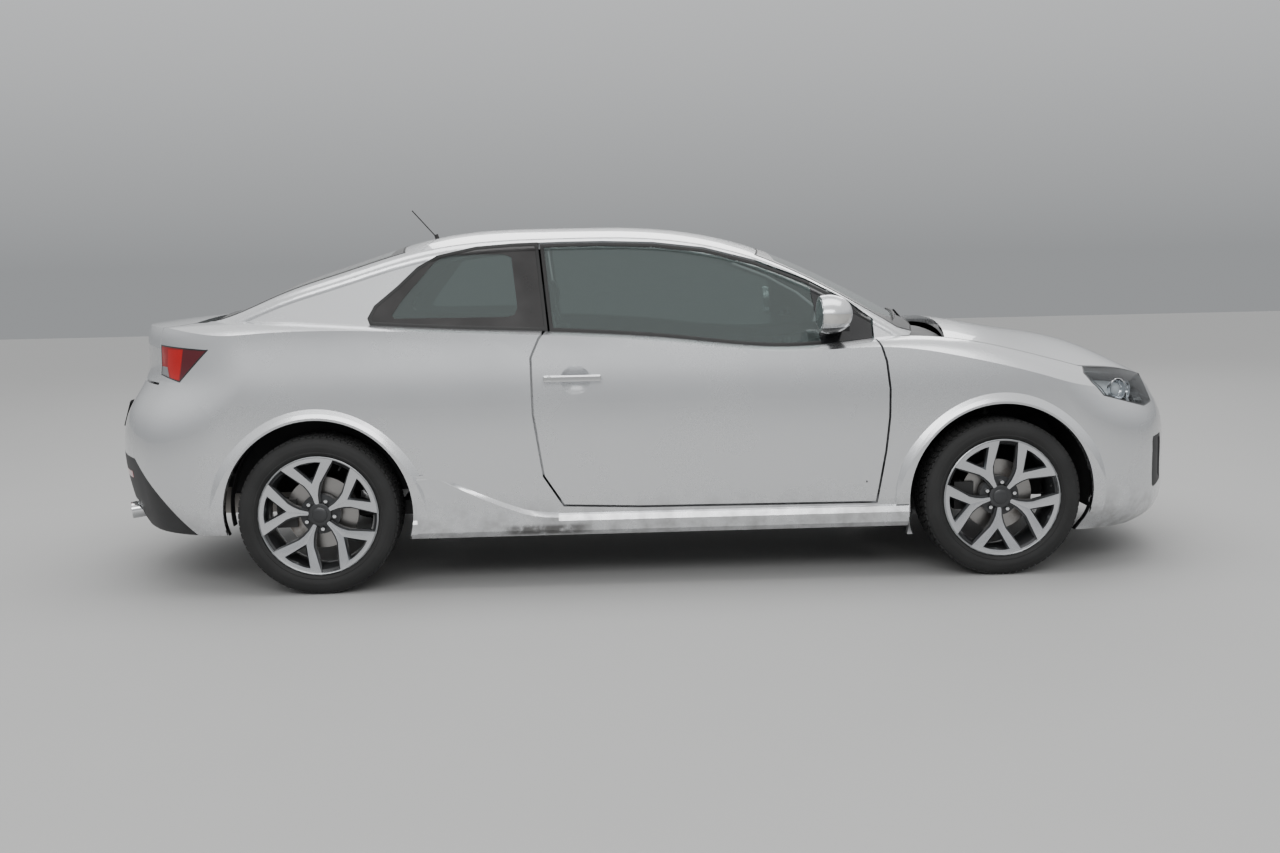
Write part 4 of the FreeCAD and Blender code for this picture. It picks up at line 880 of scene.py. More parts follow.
# lamps: a lens cut from the body's skin, a dished housing behind it, and what stands in the housing
headlamp = {
    "lens": 3.0, "depth": 62.0, "lip": 1.5,
    "divider": ((1700, 784), (1706, 784), (1780, 684), (1774, 684)),
    "marker": ((1690, 800), (1703, 784), (1777, 684), (1690, 640)),
    "dark": ((1978, 840), (1994, 600), (2100, 600), (2100, 840)),
    # place, radius and direction of each bowl
    "bowls": (((1836, 762, 712), 40, (0.45, 0.89, 0.04)), ((1893, 700, 702), 33, (0.70, 0.71, 0.04))),
    "markerDepth": 14, "dividerDepth": 4.5,
    "bead": ((-0.3, -2.0), (-0.3, 0.7), (4.5, 0.7), (4.5, -2.0)),
}
tailLamp = {
    "depth": 46.0,
    "wing": ((-1799, 975), (-1827, 815), (-1600, 815), (-1600, 975)),
    "clear": ((-1960, 884), (-1889, 881), (-1873, 820), (-1960, 820)),
    "lit": ((-1880, 950), (-1886, 892), (-1868, 836), (-1829, 836), (-1805, 950)),
    "bead": ((-0.3, -2.0), (-0.3, 0.7), (5.0, 0.7), (5.0, -2.0)),
}


def bowlShape(place, radius, direction, depth=0.75):
    # a polished bowl with a domed lens in it, open along the direction
    shape = Shape()
    angles = (0, 0.25, 0.5, 0.8, 1.1, 1.35, 1.55)
    bowl = [(math.cos(a) * radius, -math.sin(a) * radius * depth) for a in angles]
    shape.spin(metres([(radius + 3, 0), (radius + 3, 3), (radius, 2)] + bowl), 40, 0, False)
    r, sunk = radius * 0.62, radius * 0.35
    dome = [(math.cos(a) * r, math.sin(a) * r * 0.45 - sunk) for a in (0, 0.3, 0.6, 0.9, 1.2, 1.57)]
    shape.spin(metres([(r, -radius * 0.7)] + dome), 32, 1, False)
    collar = ((r, -radius * 0.34), (r + 4, -radius * 0.38), (r + 4, -radius * 0.7))
    shape.spin(metres(collar), 32, 0, False)
    turn = Vector((0, 1, 0)).rotation_difference(Vector(direction)).to_matrix().to_4x4()
    return shape.moved(Matrix.Translation(Vector(place) * mm) @ turn)


def housingShape(work, depth, lip, paint):
    # walls and floor of a housing: the skin again, set back behind its lens
    shape = lifted(work.faces, -depth * mm, paint)
    for loop in outlinesOf(work):
        front = [place - normal * lip * mm for place, normal in loop]
        back = [place - normal * depth * mm for place, normal in loop]
        shape.loft([front, back], 2, True, False)
    return shape


def makeLamps():
    reflector = metalFinish("lampReflector", (0.72, 0.73, 0.75), 0.14, strength=0.0)
    # light grey, not metallic, on the housing floor and the bowls' domed lenses: a painted reflection
    # standing in for the bright chrome reflector
    silver = plasticFinish("lampSilver", (0.60, 0.61, 0.62), 0.3, 90.0, 0.05)
    bezel = plasticFinish("lampBezel", (0.012, 0.012, 0.013), 0.25, coat=0.4)
    marker = plasticFinish("lampMarker", (0.62, 0.60, 0.56), 0.25, 260.0, 0.2)
    red = glassFinish("redBright", (0.75, 0.02, 0.02), (0.36, 0.008, 0.010), 0.22)
    maroon = glassFinish("redDark", (0.3, 0.01, 0.015), (0.105, 0.010, 0.016), 0.12)
    lit = glassFinish("redLit", (1.0, 0.05, 0.03), (0.62, 0.012, 0.012), 0.3)
    frosted = glassFinish("frostedCorner", (0.95, 0.95, 0.95), (0.36, 0.36, 0.37), 0.5)
    redBack = plasticFinish("redReflector", (0.32, 0.01, 0.01), 0.3, 240.0, 0.6, metallic=0.4)
    lenses, housings, bezels, tails, tailBacks = (Shape() for _ in range(5))
    wall, lip = -headlamp["lens"] * mm, headlamp["lip"]
    for _, sign in sides:
        work = skinOf("headlamps", (0.55, sign * 0.8, 0.2), 0.045, 0.3, lambda p: p.y * sign > 0)
        isMarker, isDark = (sliceAlong(work, headlamp[part], 1) for part in ("marker", "dark"))
        housings.join(housingShape(work, headlamp["depth"], lip, lambda face: 2 if isDark(face) else 1))
        marked = [face for face in work.faces if isMarker(face)]
        housings.join(lifted(marked, -headlamp["markerDepth"] * mm, 3))
        isDivider = sliceAlong(work, headlamp["divider"], 1)
        lenses.join(lifted(work.faces, 0.0))
        divided = [face for face in work.faces if isDivider(face)]
        bezels.join(lifted(divided, -headlamp["dividerDepth"] * mm))
        bezels.join(beadsRound(work, headlamp["bead"]))
        for (x, y, z), radius, (a, b, c) in headlamp["bowls"]:
            housings.join(bowlShape((x, y * sign, z), radius, (a, b * sign, c)))
        work.free()

        work = skinOf("tail_lamps", (-0.4, sign * 0.85, 0.15), 0.045, 0.3, lambda p: p.y * sign > 0)
        tests = [(sliceAlong(work, tailLamp[part], 1), number)
                 for part, number in (("clear", 2), ("lit", 3), ("wing", 1))]

        def region(face):
            return next((number for isInside, number in tests if isInside(face)), 0)
        tails.join(lifted(work.faces, 0.0, region))
        tailBacks.join(housingShape(work, tailLamp["depth"], lip, 1))
        bezels.join(beadsRound(work, tailLamp["bead"]))
        work.free()
    clear = [finishes["clear_lens"]]
    makePiece("headlampLenses", lenses, clear, "body", ("headlamps",), 40, wall, "headlamps")
    makePiece("headlampHousings", housings, [reflector, silver, bezel, marker], sharp=40)
    makePiece("lampSurrounds", bezels, [bezel], sharp=40)
    tinted = [red, maroon, frosted, lit]
    makePiece("tailLampLenses", tails, tinted, "body", ("tail_lamps",), 40, wall, "tail_lamps")
    makePiece("tailLampHousings", tailBacks, [reflector, redBack, redBack], "body", sharp=40)


makeLamps()
print("lamps made")


# thin coverings on the painted panels, millimetres, each drawn as seen along an axis
coverings = (
    # piece, node, outward, axis, outline, lift, finish, body, slot
    ("mirrorIndicator", "mirror", (0.1, 1, 0), 1, ((634, 1042), (741, 1040), (740, 1004), (634, 1007)),
     0.9, "marker", "door", "mirror_shell"),
    ("mirrorUnderside", "mirror", (0.1, 0.3, -1), 1, ((600, 986), (800, 992), (800, 900), (600, 900)),
     0.8, "gloss", "door", "black_plastic"),
    ("rearValance", "rear_bumper", (-0.8, 0.6, -0.1), 1,
     ((-2300, 515), (-2062, 515), (-1690, 140), (-1690, 60), (-2300, 60)), 0.7, "grained", "body",
     "black_plastic"),
    ("fogSurround", "front_bumper", (0.85, 0.5, 0), 0,
     ((604, 514), (588, 322), (694, 306), (704, 316), (716, 494), (708, 512)), 0.8, "grained", "body",
     "black_plastic"),
    ("rearReflector", "rear_bumper", (-0.85, 0.5, 0), 0, ((420, 452), (560, 456), (560, 430), (424, 426)),
     1.6, "red", "body", "red_lens"),
)
throughs = {"mirror": 0.3}  # how far behind its skin a node's other side may lie, metres, where not 0.12
crease = {
    # along the sill from the rear wheel to the door: x, height, how far its edge stands out
    "stations": ((-924, 452, 0.0), (-880, 452, 0.0), (-832, 448, 0.0), (-790, 427, 3.0), (-740, 401, 6.5),
                 (-690, 378, 9.0), (-650, 361, 11.0), (-600, 340, 13.5), (-560, 325, 15.0), (-509, 306, 16.5),
                 (-470, 299, 16.5), (-430, 294, 15.0), (-380, 291, 11.0)),
    "ledge": 15.0, "skirtZ": 262.0, "skirtY": 862.0, "foot": ((856.0, 226.0), (840.0, 206.0), (836.0, 230.0)),
}
plates = {
    # middle (x, z), width, height, which way it faces and how far it leans back, degrees
    "frontPlate": ((2237.4, 330), 372, 107, 1, 0),
    "rearPlate": ((-2226.4, 652), 372, 107, -1, 17),
}
# the sheet, its raised middle and its holder: how much larger, from and to, corner, finish
plateLayers = ((0, 0.0, 1.6, 8, 0), (-9, 1.6, 2.1, 5, 0), (4, -2.0, 0.0, 10, 1))
tip = {
    "start": (-1960, -430, 300), "end": (-2120, -480, 285),
    "outer": 34.5, "inner": 30.4, "length": 95, "past": 14,
}
lock = {"x": -402, "z": 817, "y": 889.0, "radius": 8.5}
wipers = (
    # pivot, blade's inner and outer ends, as seen from above
    ((1128, -60), (1062, -40), (985, -560)),
    ((1112, 470), (1040, 450), (1064, 5)),
)
wiper = {"blade": 9, "height": 11, "steps": 9, "bow": 14, "end": 0.55, "arm": 7.5, "stand": 19, "boss": 15}


def onSide(tree, x, z, sign, axis=1):
    # what a level ray from outside meets: along Y at (x, z), or along X at (y, z) when the axis is 0
    start = Vector((x * mm, sign * 3.0, z * mm)) if axis == 1 else Vector((sign * 4.0, x * mm, z * mm))
    heading = Vector((0, -sign, 0)) if axis == 1 else Vector((-sign, 0, 0))
    return tree.ray_cast(start, heading)


def treeOf(*names):
    # CAD nodes to aim rays at
    work = bmesh.new()
    for name in names:
        work.from_mesh(nodes[name].data)
    tree = BVHTree.FromBMesh(work)
    work.free()
    return tree


def makeCoverings():
    looks = {
        "gloss": glossTrim,
        "grained": finishes["black_plastic"],
        "marker": plasticFinish("indicatorLens", (0.50, 0.49, 0.47), 0.14, 300.0, metallic=0.35, coat=0.6),
        "red": plasticFinish("redReflex", (0.34, 0.01, 0.012), 0.16, 420.0, 0.3, coat=0.8),
    }
    for title, node, outward, axis, outline, lift, look, body, slot in coverings:
        for side, sign in sides:
            name = node if node in nodes else f"{node}_{side}"
            a, b, c = outward
            line = [(sign * p, q) for p, q in outline] if axis == 0 else outline
            through = throughs.get(node, 0.12)
            work = skinOf(name, (a, sign * b, c), through, 0.25, lambda p: (p.y + 1e-5) * sign > 0)
            isInside = sliceAlong(work, line, axis)
            chosen = [face for face in work.faces if isInside(face)]
            ride = body if body == "body" else f"{body}_{side}"
            makePiece(f"{title}_{side}", lifted(chosen, lift * mm), [looks[look]], ride, sharp=60,
                      solidify=-(lift - 0.15) * mm, like=name)
            work.free()


def makeCrease():
    low, skirt = crease["skirtZ"], crease["skirtY"]
    for side, sign in sides:
        tree = treeOf(f"side_panel_{side}")
        rings = []
        for x, z, out in crease["stations"]:
            def surface(height):
                return abs(onSide(tree, x, height, sign)[0].y) / mm
            top, edge = z + 1.5, z - crease["ledge"]
            face, flush = surface(edge) + out, surface(top)
            points = [(flush - 1.5, top), (flush + 0.2, top), (face - 1.2, edge + 1.6), (face, edge)]
            for part in (0.25, 0.5, 0.75, 1.0):
                height = edge + (low - edge) * part
                points.append((max(face + (skirt - face) * part, surface(height) + 0.4), height))
            rings.append([Vector((x, sign * y, h)) * mm for y, h in (*points, *crease["foot"])])
        shape = Shape()
        shape.loft(rings)
        makePiece(f"sillCrease_{side}", shape, [finishes["body_paint"]], sharp=26)


def makePlates():
    face = plasticFinish("plateFace", (0.60, 0.60, 0.57), 0.35, 200.0, 0.1)
    for title, ((x, z), width, height, facing, lean) in plates.items():
        shape = Shape()
        for grow, back, front, radius, paint in plateLayers:
            ring = rounded(width / 2 + grow, height / 2 + grow, radius, 3)
            shape.loft(upright(ring, (facing * back, facing * front)), paint)
        for y in (-width / 2 + 30, width / 2 - 30):
            screw = Shape()
            screw.spin([(0, 2.6), (3, 2.5), (4.5, 2.2), (4.5, 0)], 14, 2, False)
            shape.join(screw.moved(Matrix.Translation((0, y, 0)) @ turnBy(-90 * facing, "Z")))
        place = Matrix.Translation((x * mm, 0, z * mm)) @ turnBy(-lean * facing)
        makePiece(title, shape.inMetres().moved(place), [face, plastic, steel], sharp=40)


def makeTip():
    start, end = Vector(tip["start"]), Vector(tip["end"])
    turn = Vector((0, 1, 0)).rotation_difference(end - start).to_matrix().to_4x4()
    outer, inner, back, past = tip["outer"], tip["inner"], tip["length"], tip["past"]
    shape = Shape()
    shape.spin(metres((
        (inner, -back), (outer - 2, -back), (outer - 1, -back + 4), (outer, past - 6),
        (outer + 0.5, past - 1), (outer - 1.5, past), (inner + 0.5, past - 1), (inner, past - 6),
        (inner, 1.0),
    )), 48, [0] * 7 + [1, 0])
    # a black disc closes the pipe a little inside its mouth: painted shade for the pipe's dark depth; the
    # black band of inner wall in front of it is soot
    shape.spin(metres(((0, 0.6), (inner, 0.6))), 48, 1, False)
    shape = shape.moved(Matrix.Translation(end * mm) @ turn)
    # black: soot on the inner wall, painted shade on the closing disc
    soot = plasticFinish("soot", (0.01, 0.01, 0.01), 0.9)
    makePiece("exhaustTip", shape, [chrome, soot])


def makeLock():
    shape = Shape()
    r = lock["radius"]
    profile = ((0, 0.4), (r * 0.72, 0.4), (r * 0.76, 0.9), (r, 1.3), (r + 1, 0.6), (r + 1, -3))
    shape.spin(profile, 28, 0, False)
    shape.block((-0.6, 0.2, -4.2), (0.6, 0.7, 4.2), 1)
    place = Matrix.Translation(Vector((lock["x"], -lock["y"], lock["z"])) * mm)
    shape = shape.inMetres().moved(place @ mirrorY, True)
    makePiece("doorLock", shape, [chrome, plastic], "door_right", sharp=32)


def makeWipers():
    tree = treeOf("fixed_windows", "cowl")
    normal = Vector((0.46, 0, 0.888))  # of the windscreen's foot
    half, height = wiper["blade"] / 2 * mm, wiper["height"] * mm
    count, arm = wiper["steps"], wiper["arm"] * mm
    for number, (pivot, inner, outer) in enumerate(wipers):
        line = []
        for k in range(count):
            part = k / (count - 1)
            x, y = (inner[i] + (outer[i] - inner[i]) * part for i in (0, 1))
            x += wiper["bow"] * math.sin(math.pi * part)
            line.append(onSurface(tree, x * mm, y * mm, 1.2 * mm))
        side = normal.cross((line[-1] - line[0]).normalized()).normalized()
        rings = []
        for k, p in enumerate(line):
            taper = wiper["end"] if k in (0, count - 1) else 1.0
            profile = (
                (0.0008, 0), (0.0012, height * 0.5), (half * taper, height * 0.55),
                (half * 0.5 * taper, height * taper),
            )
            right = [p + side * a + normal * b for a, b in profile]
            left = [p - side * a + normal * b for a, b in reversed(profile)]
            rings.append(right + left)
        shape = Shape()
        shape.loft(rings)
        foot = onSurface(tree, pivot[0] * mm, pivot[1] * mm)
        middle = line[count // 2] + normal * height
        high = foot + Vector((0, 0, wiper["stand"] * mm))
        knee = high + (middle - high) * 0.35 + normal * 0.012
        shape.tube([high, knee, middle + normal * 0.004], [arm, arm * 0.8, arm * 0.6], 0, 8, squash=0.6)
        shape.tube([foot - Vector((0, 0, 0.01)), high + Vector((0, 0, 0.004))], wiper["boss"] * mm, 0, 16)
        makePiece(f"wiper{number + 1}", shape, [plastic])


grille = {
    # the upper opening: half its width, its level, half its height, then its corners (y, z) and frame
    "middle": (340, 662, 22), "corners": ((-300, 640), (-340, 684), (340, 684), (300, 640)), "step": 20,
    "frame": (1.5, 8.5, 2.4),
    # the fins of the lower opening
    "pitch": 26, "fin": 2.6, "deep": (28.0, 5.0), "reach": 494, "heights": (236, 398), "fewest": 6,
}


def makeGrille():
    bumper, inserts = treeOf("front_bumper"), treeOf("bumper_inserts")
    points = []
    corners = grille["corners"]
    for number, (y0, z0) in enumerate(corners):
        y1, z1 = corners[(number + 1) % len(corners)]
        count = max(3, round(math.hypot(y1 - y0, z1 - z0) / grille["step"]))
        points += [(y0 + (y1 - y0) * k / count, z0 + (z1 - z0) * k / count) for k in range(count)]
    near, far, rise = grille["frame"]
    halfWide, level, halfHigh = grille["middle"]
    section = ((near, -1.0), (near, rise * 0.7), ((near + far) / 2, rise), (far, rise * 0.4), (far, -1.0))
    rings = []
    for y, z in points:
        away = Vector((y / halfWide, (z - level) / halfHigh)).normalized()
        ring = []
        for out, lift in section:
            place, normal, _, _ = onSide(bumper, y + away.x * out, z + away.y * out, 1, 0)
            ring.append(place + normal * lift * mm)
        rings.append(ring)
    shape = Shape()
    shape.loft(rings, looped=True)
    makePiece("grilleFrame", shape, [chrome], sharp=40)

    # a fin stands where the inserts show through the bumper's lower opening
    fins = Shape()
    low, high = grille["heights"]
    behind, ahead = grille["deep"]
    half = grille["fin"] / 2
    count = int(grille["reach"] / grille["pitch"])
    for number in range(-count, count + 1):
        y = number * grille["pitch"]
        shown = {}
        for z in range(low, high, 4):
            back, front = onSide(inserts, y, z, 1, 0)[0], onSide(bumper, y, z, 1, 0)[0]
            if back and (not front or back.x > front.x):
                shown[z] = back.x / mm
        if len(shown) >= grille["fewest"]:
            face = max(shown.values())
            fins.block((face - behind, y - half, min(shown)), (face - ahead, y + half, max(shown)))
    makePiece("grilleFins", fins.inMetres(), [plastic])


makeCoverings()
makeGrille()
makeCrease()
makePlates()
makeTip()
makeLock()
makeWipers()
print("outside trim made")

# padded pieces in millimetres: a corner, which way they run, how far they may swell, the blocks they are
# sewn from (across, along and over, each from and to, then the rounding), and where their seams lie
pads = {
    "frontCushion": {
        "corner": (-250, 0, 330), "along": (1, 0, 0), "over": (0, 0, 1), "voxel": 11, "swell": 15,
        "blocks": ((-152, 152, 14, 496, 12, 98, 30), (-222, -136, 24, 478, 12, 110, 30),
                   (136, 222, 24, 478, 12, 110, 30)),
        "columns": (-144, 144), "rows": (120, 215, 310, 405), "middle": 138, "at": (390, -390),
    },
    "frontBack": {
        "corner": (-190, 0, 400), "along": (-140, 0, 610), "over": (610, 0, 140), "voxel": 11, "swell": 15,
        "blocks": ((-150, 150, 30, 600, -106, -24, 26), (-222, -132, 34, 540, -106, -12, 28),
                   (132, 222, 34, 540, -106, -12, 28), (-186, 186, 500, 606, -96, -20, 30)),
        "columns": (-141, 141), "rows": (130, 225, 320, 415, 510), "middle": 136, "at": (390, -390),
    },
    "headRest": {
        "corner": (-370, 0, 1050), "along": (-15, 0, 130), "over": (130, 0, 15), "voxel": 8, "swell": 9,
        "blocks": ((-120, 120, 8, 122, -62, -8, 24),),
        "columns": (), "rows": (30,), "middle": 118, "at": (390, -390),
    },
    "rearCushion": {
        "corner": (-900, 0, 330), "along": (1, 0, 0), "over": (0, 0, 1), "voxel": 14, "swell": 14,
        "blocks": ((96, 612, 14, 456, 12, 124, 34), (-612, -96, 14, 456, 12, 124, 34),
                   (-130, 130, 20, 440, 12, 104, 30)),
        "columns": (-470, -230, -112, 112, 230, 470), "rows": (150, 300), "middle": 470, "at": (0,),
    },
    "rearBack": {
        "corner": (-880, 0, 440), "along": (-130, 0, 515), "over": (515, 0, 130), "voxel": 14, "swell": 13,
        "blocks": ((90, 614, 24, 510, -76, -14, 26), (-614, -90, 24, 510, -76, -14, 26),
                   (-120, 120, 30, 496, -74, -24, 22)),
        "columns": (-470, -230, -105, 105, 230, 470), "rows": (140, 290), "middle": 470, "at": (0,),
    },
}
seam = {"width": 7.0, "columns": 6.0, "rows": 4.0}
cloth = {"pressure": 4.0, "frames": 20, "mass": 0.4, "stiffness": 22.0, "fill": 0.6}


def sewnBlocks(title, pad):
    # the pad before it is stuffed: rounded blocks grown together by a remesh
    work = bmesh.new()
    for x0, x1, y0, y1, z0, z1, radius in pad["blocks"]:
        made = bmesh.ops.create_cube(work, size=1.0)["verts"]
        for vert in made:
            x, y, z = vert.co
            vert.co = ((x1 if x > 0 else x0) * mm, (y1 if y > 0 else y0) * mm, (z1 if z > 0 else z0) * mm)
        edges = list({edge for vert in made for edge in vert.link_edges})
        bmesh.ops.bevel(work, geom=edges, offset=radius * mm, segments=4, profile=0.5, affect="EDGES")
    mesh = bpy.data.meshes.new(title)
    work.to_mesh(mesh)
    work.free()
    pillow = linked(mesh)
    remesh = pillow.modifiers.new("evenMesh", "REMESH")
    remesh.mode = "VOXEL"
    remesh.voxel_size = pad["voxel"] * mm
    return plainMesh(pillow)


def stuffed(mesh, swell):
    # blow the cover up as cloth and keep each point within its swell
    pillow = linked(mesh)
    start = [vert.co.copy() for vert in mesh.vertices]
    cover = pillow.modifiers.new("cover", "CLOTH")
    settings = cover.settings
    settings.mass = cloth["mass"]
    settings.tension_stiffness = settings.compression_stiffness = cloth["stiffness"]
    settings.use_pressure = True
    settings.uniform_pressure_force = cloth["pressure"]
    settings.effector_weights.gravity = 0.0
    cover.point_cache.frame_end = cloth["frames"]
    scene = bpy.context.scene
    for number in range(1, cloth["frames"] + 1):
        scene.frame_set(number)
    blown = plainMesh(pillow)
    scene.frame_set(1)
    reach = swell * mm
    for vert, before in zip(blown.vertices, start):
        step = vert.co - before
        if step.length > 1e-9:
            vert.co = before + step.normalized() * reach * math.tanh(step.length / reach)
    return blown


def quilted(mesh, pad):
    # finer mesh, then the sewn channels pulled in along the seams
    work = bmesh.new()
    work.from_mesh(mesh)
    bmesh.ops.subdivide_edges(work, edges=work.edges[:], cuts=1, use_grid_fill=True, smooth=0.9)
    bmesh.ops.recalc_face_normals(work, faces=work.faces)
    work.normal_update()
    for vert in work.verts:
        x, y, _ = vert.co / mm
        pull = 0.0
        for key, at in (("columns", x), ("rows", y)):
            if key == "columns" or abs(x) < pad["middle"]:
                for place in pad[key]:
                    pull = max(pull, math.exp(-(((at - place) / seam["width"]) ** 2)) * seam[key])
        vert.co -= vert.normal * pull * max(0.0, vert.normal.z) * mm
    finished = bpy.data.meshes.new(mesh.name)
    work.to_mesh(finished)
    work.free()
    return finished


def makePads():
    covers = [
        clothFinish("seatFabric", (0.020, 0.020, 0.022), (0.075, 0.075, 0.08)),
        clothFinish("seatBolster", (0.012, 0.012, 0.013), (0.04, 0.04, 0.043), 0.0011),
    ]
    for title, pad in pads.items():
        mesh = quilted(stuffed(sewnBlocks(title, pad), pad["swell"]), pad)
        # the bolsters and the sides have the plainer cloth
        edge = pad["columns"][-1] * mm if title.startswith("front") else math.inf
        outer = [int(abs(face.center.x) > edge or face.normal.z < 0.2) for face in mesh.polygons]
        along, over = (Vector(pad[key]).normalized() for key in ("along", "over"))
        turn = Matrix((over.cross(along), along, over)).transposed().to_4x4()
        whole = meshShape(mesh, outer).moved(Matrix.Translation(Vector(pad["corner"]) * mm) @ turn)
        for number, out in enumerate(pad["at"]):
            name = title if len(pad["at"]) == 1 else f"{title}_{sides[number][0]}"
            shape = whole.moved(Matrix.Translation((0, out * mm, 0)))
            piece = makePiece(name, shape, covers, "body", ("seats",), 180)
    print("seats stuffed")


seatFrame = {
    "rail": ((-205, 230), 150, 16), "plinth": ((-185, 200), 168, 214, 318), "hinge": (-215, 372, 46),
    "posts": ((-385, 985), (-398, 1030), (-408, 1075)), "postOut": 60, "post": 6.5, "at": 390,
    "bench": ((-895, 392), (-895, 336), (-440, 336), (-440, 392)), "benchHalf": 600,
}


def makeSeatFrames():
    # plinth, rails, recliner covers and head rest posts of each front seat, and the bench's plinth
    (railBack, railFront), railOut, railWide = seatFrame["rail"]
    (back, front), half, low, high = seatFrame["plinth"]
    hingeX, hingeZ, hingeR = seatFrame["hinge"]
    seat = Shape()
    for out in (-railOut, railOut):
        seat.block((railBack, out - railWide, 208.5), (railFront, out + railWide, 232), 1)
    rings = []
    for x, inset in ((back, 12), (back + 14, 0), (front - 14, 0), (front, 12)):
        wide = half - inset
        rings.append([Vector((x, y, z)) for y, z in (
            (-wide, low), (wide, low), (wide, high - 14), (wide - 14, high), (-wide + 14, high),
            (-wide, high - 14),
        )])
    seat.loft(rings)
    for out in (-1, 1):
        cover = Shape()
        cover.spin([(0, 16), (hingeR * 0.7, 15), (hingeR, 9), (hingeR, -6), (0, -6)], 32, 0, False)
        place = Matrix.Translation((hingeX - 20, out * 219, hingeZ + 26)) @ Matrix.Diagonal((1, out, 1, 1))
        seat.join(cover.moved(place))
        post = [(x, out * seatFrame["postOut"], z) for x, z in seatFrame["posts"]]
        seat.tube(post, seatFrame["post"], 1, 14)
    shape = Shape()
    for _, sign in sides:
        shape.join(seat.moved(Matrix.Translation((0, sign * seatFrame["at"], 0))))
    reach = seatFrame["benchHalf"]
    shape.loft([[Vector((x, y, z)) for x, z in seatFrame["bench"]] for y in (-reach, reach)])
    makePiece("seatFrames", shape.inMetres(), [plastic, steel], "body", ("seats",))


steering = {
    "hub": (520, -390, 760), "slope": (0.93, 0, -0.37), "radius": 180, "grip": 15, "pad": 62, "column": 170,
    # along a spoke: distance from the hub, half width, half thickness, depth
    "spoke": ((40, 24, 9, 6), (95, 17, 7, 3), (140, 15, 6, 1), (165, 20, 7, 0)), "spokeAngles": (0, 180, 270),
    "stalk": ((30, 62, 6), (90, 64, 14), (150, 58, 20)),
}


def circle(count):
    return [(math.cos(math.tau * k / count), math.sin(math.tau * k / count)) for k in range(count)]


def makeSteeringWheel():
    # drawn flat, axis along Y and away from the driver, then tilted to the column
    grip, padR, deep = steering["grip"], steering["pad"], steering["column"]
    middle = steering["radius"] - grip
    leather = plasticFinish("wheelLeather", (0.014, 0.014, 0.014), 0.5, 900.0, 0.5)
    shape = Shape()
    rings = []
    for a, b in circle(72):
        bulge = 1.0 + 0.10 * (a * a - b * b) ** 6
        section = [(middle + grip * 0.92 * bulge * c, grip * bulge * d) for c, d in circle(12)]
        rings.append([Vector((r * a, w, r * b)) for r, w in section])
    shape.loft(rings, looped=True)
    pad = Shape()
    pad.spin([
        (0, -21), (padR * 0.5, -20), (padR * 0.82, -16), (padR * 0.97, -7), (padR, 4), (padR * 0.8, 16),
        (42, 20), (42, 30), (0, 30),
    ], 48, 1, False)
    shape.join(pad.moved(Matrix.Diagonal((1.12, 1, 0.86, 1))))
    spoke = Shape()
    spoke.loft([[Vector((r, sunk + thick * d, half * c)) for c, d in circle(12)]
                for r, half, thick, sunk in steering["spoke"]], 2)
    for angle in steering["spokeAngles"]:
        shape.join(spoke.moved(turnBy(-angle)))
    for out in (-1, 1):
        shape.tube([(out * x, y, z) for x, y, z in steering["stalk"]], [7, 6, 8], 1, 10, squash=0.6)
    shape.spin([(0, 24), (40, 24), (46, 36), (52, 70), (56, deep), (0, deep)], 36, 1, False)
    away = Vector(steering["slope"]).normalized()
    level = (Vector((0, 0, 1)) - away * away.z).normalized()
    turn = Matrix((away.cross(level), away, level)).transposed().to_4x4()
    shape = shape.moved(Matrix.Translation(steering["hub"]) @ turn).inMetres()
    makePiece("steeringWheel", shape, [leather, plastic, alloy], replaced=("steering_wheel",), sharp=40)


dash = {
    # vents: middle y, z, width, height
    "vents": ((-600, 800, 96, 52), (-76, 812, 88, 50), (76, 812, 88, 50), (600, 800, 96, 52)),
    "slats": 5, "screen": (0, 742, 150, 66), "knobs": (-58, 0, 58), "knobZ": 668,
    "dials": (-430, -350), "dialZ": 838, "dialR": 34, "marks": range(-120, 121, 30),
    "hood": {"middle": -390, "half": 150, "from": 640, "to": 800, "low": 856, "high": 905},
    "glove": ((120, 540), (585, 690)),
}


def dashFace(z):
    # x of the upper face towards the seats at a height
    return 640 + (z - 700) * (20 / 160)


def kneeFace(z):
    # the same for the lower face, which leans the other way
    return 760 - 120 * (z - 520) / 180


def addVent(shape, y, z, width, height):
    face, out, up = dashFace(z), width / 2, height / 2
    # the surround, then a near-black block filling the opening behind the slats: painted shade for the dark
    # duct
    for grow, far, near, paint in ((0, 1.0, -6.0, 0), (-7, -6.5, 1.0, 1)):
        shape.loft(upright(rounded(out + grow, up + grow, 12 + grow), (far, near), (face, y, z)), paint)
    for k in range(dash["slats"]):
        level = z - up + 10 + (height - 20) * k / (dash["slats"] - 1)
        shape.block((face - 9, y - out + 10, level - 1.2), (face - 5.8, y + out - 10, level + 1.2), 0)
    shape.block((face - 10, y - 3, z - 12), (face - 6, y + 3, z + 12), 2)


def dialShape(radius):
    dial = Shape()
    dial.spin([(0, 2), (radius * 0.94, 2), (radius * 0.95, 5), (radius, 5), (radius, 0)], 40, 3, False)
    mark, needle = Shape(), Shape()
    mark.block((-0.8, 2.2, radius * 0.72), (0.8, 2.6, radius * 0.9), 2)
    needle.block((-0.9, 3.0, -6), (0.9, 3.6, radius * 0.7), 4)
    for angle in dash["marks"]:
        dial.join(mark.moved(turnBy(angle)))
    dial.join(needle.moved(turnBy(dash["marks"][0])))
    return dial


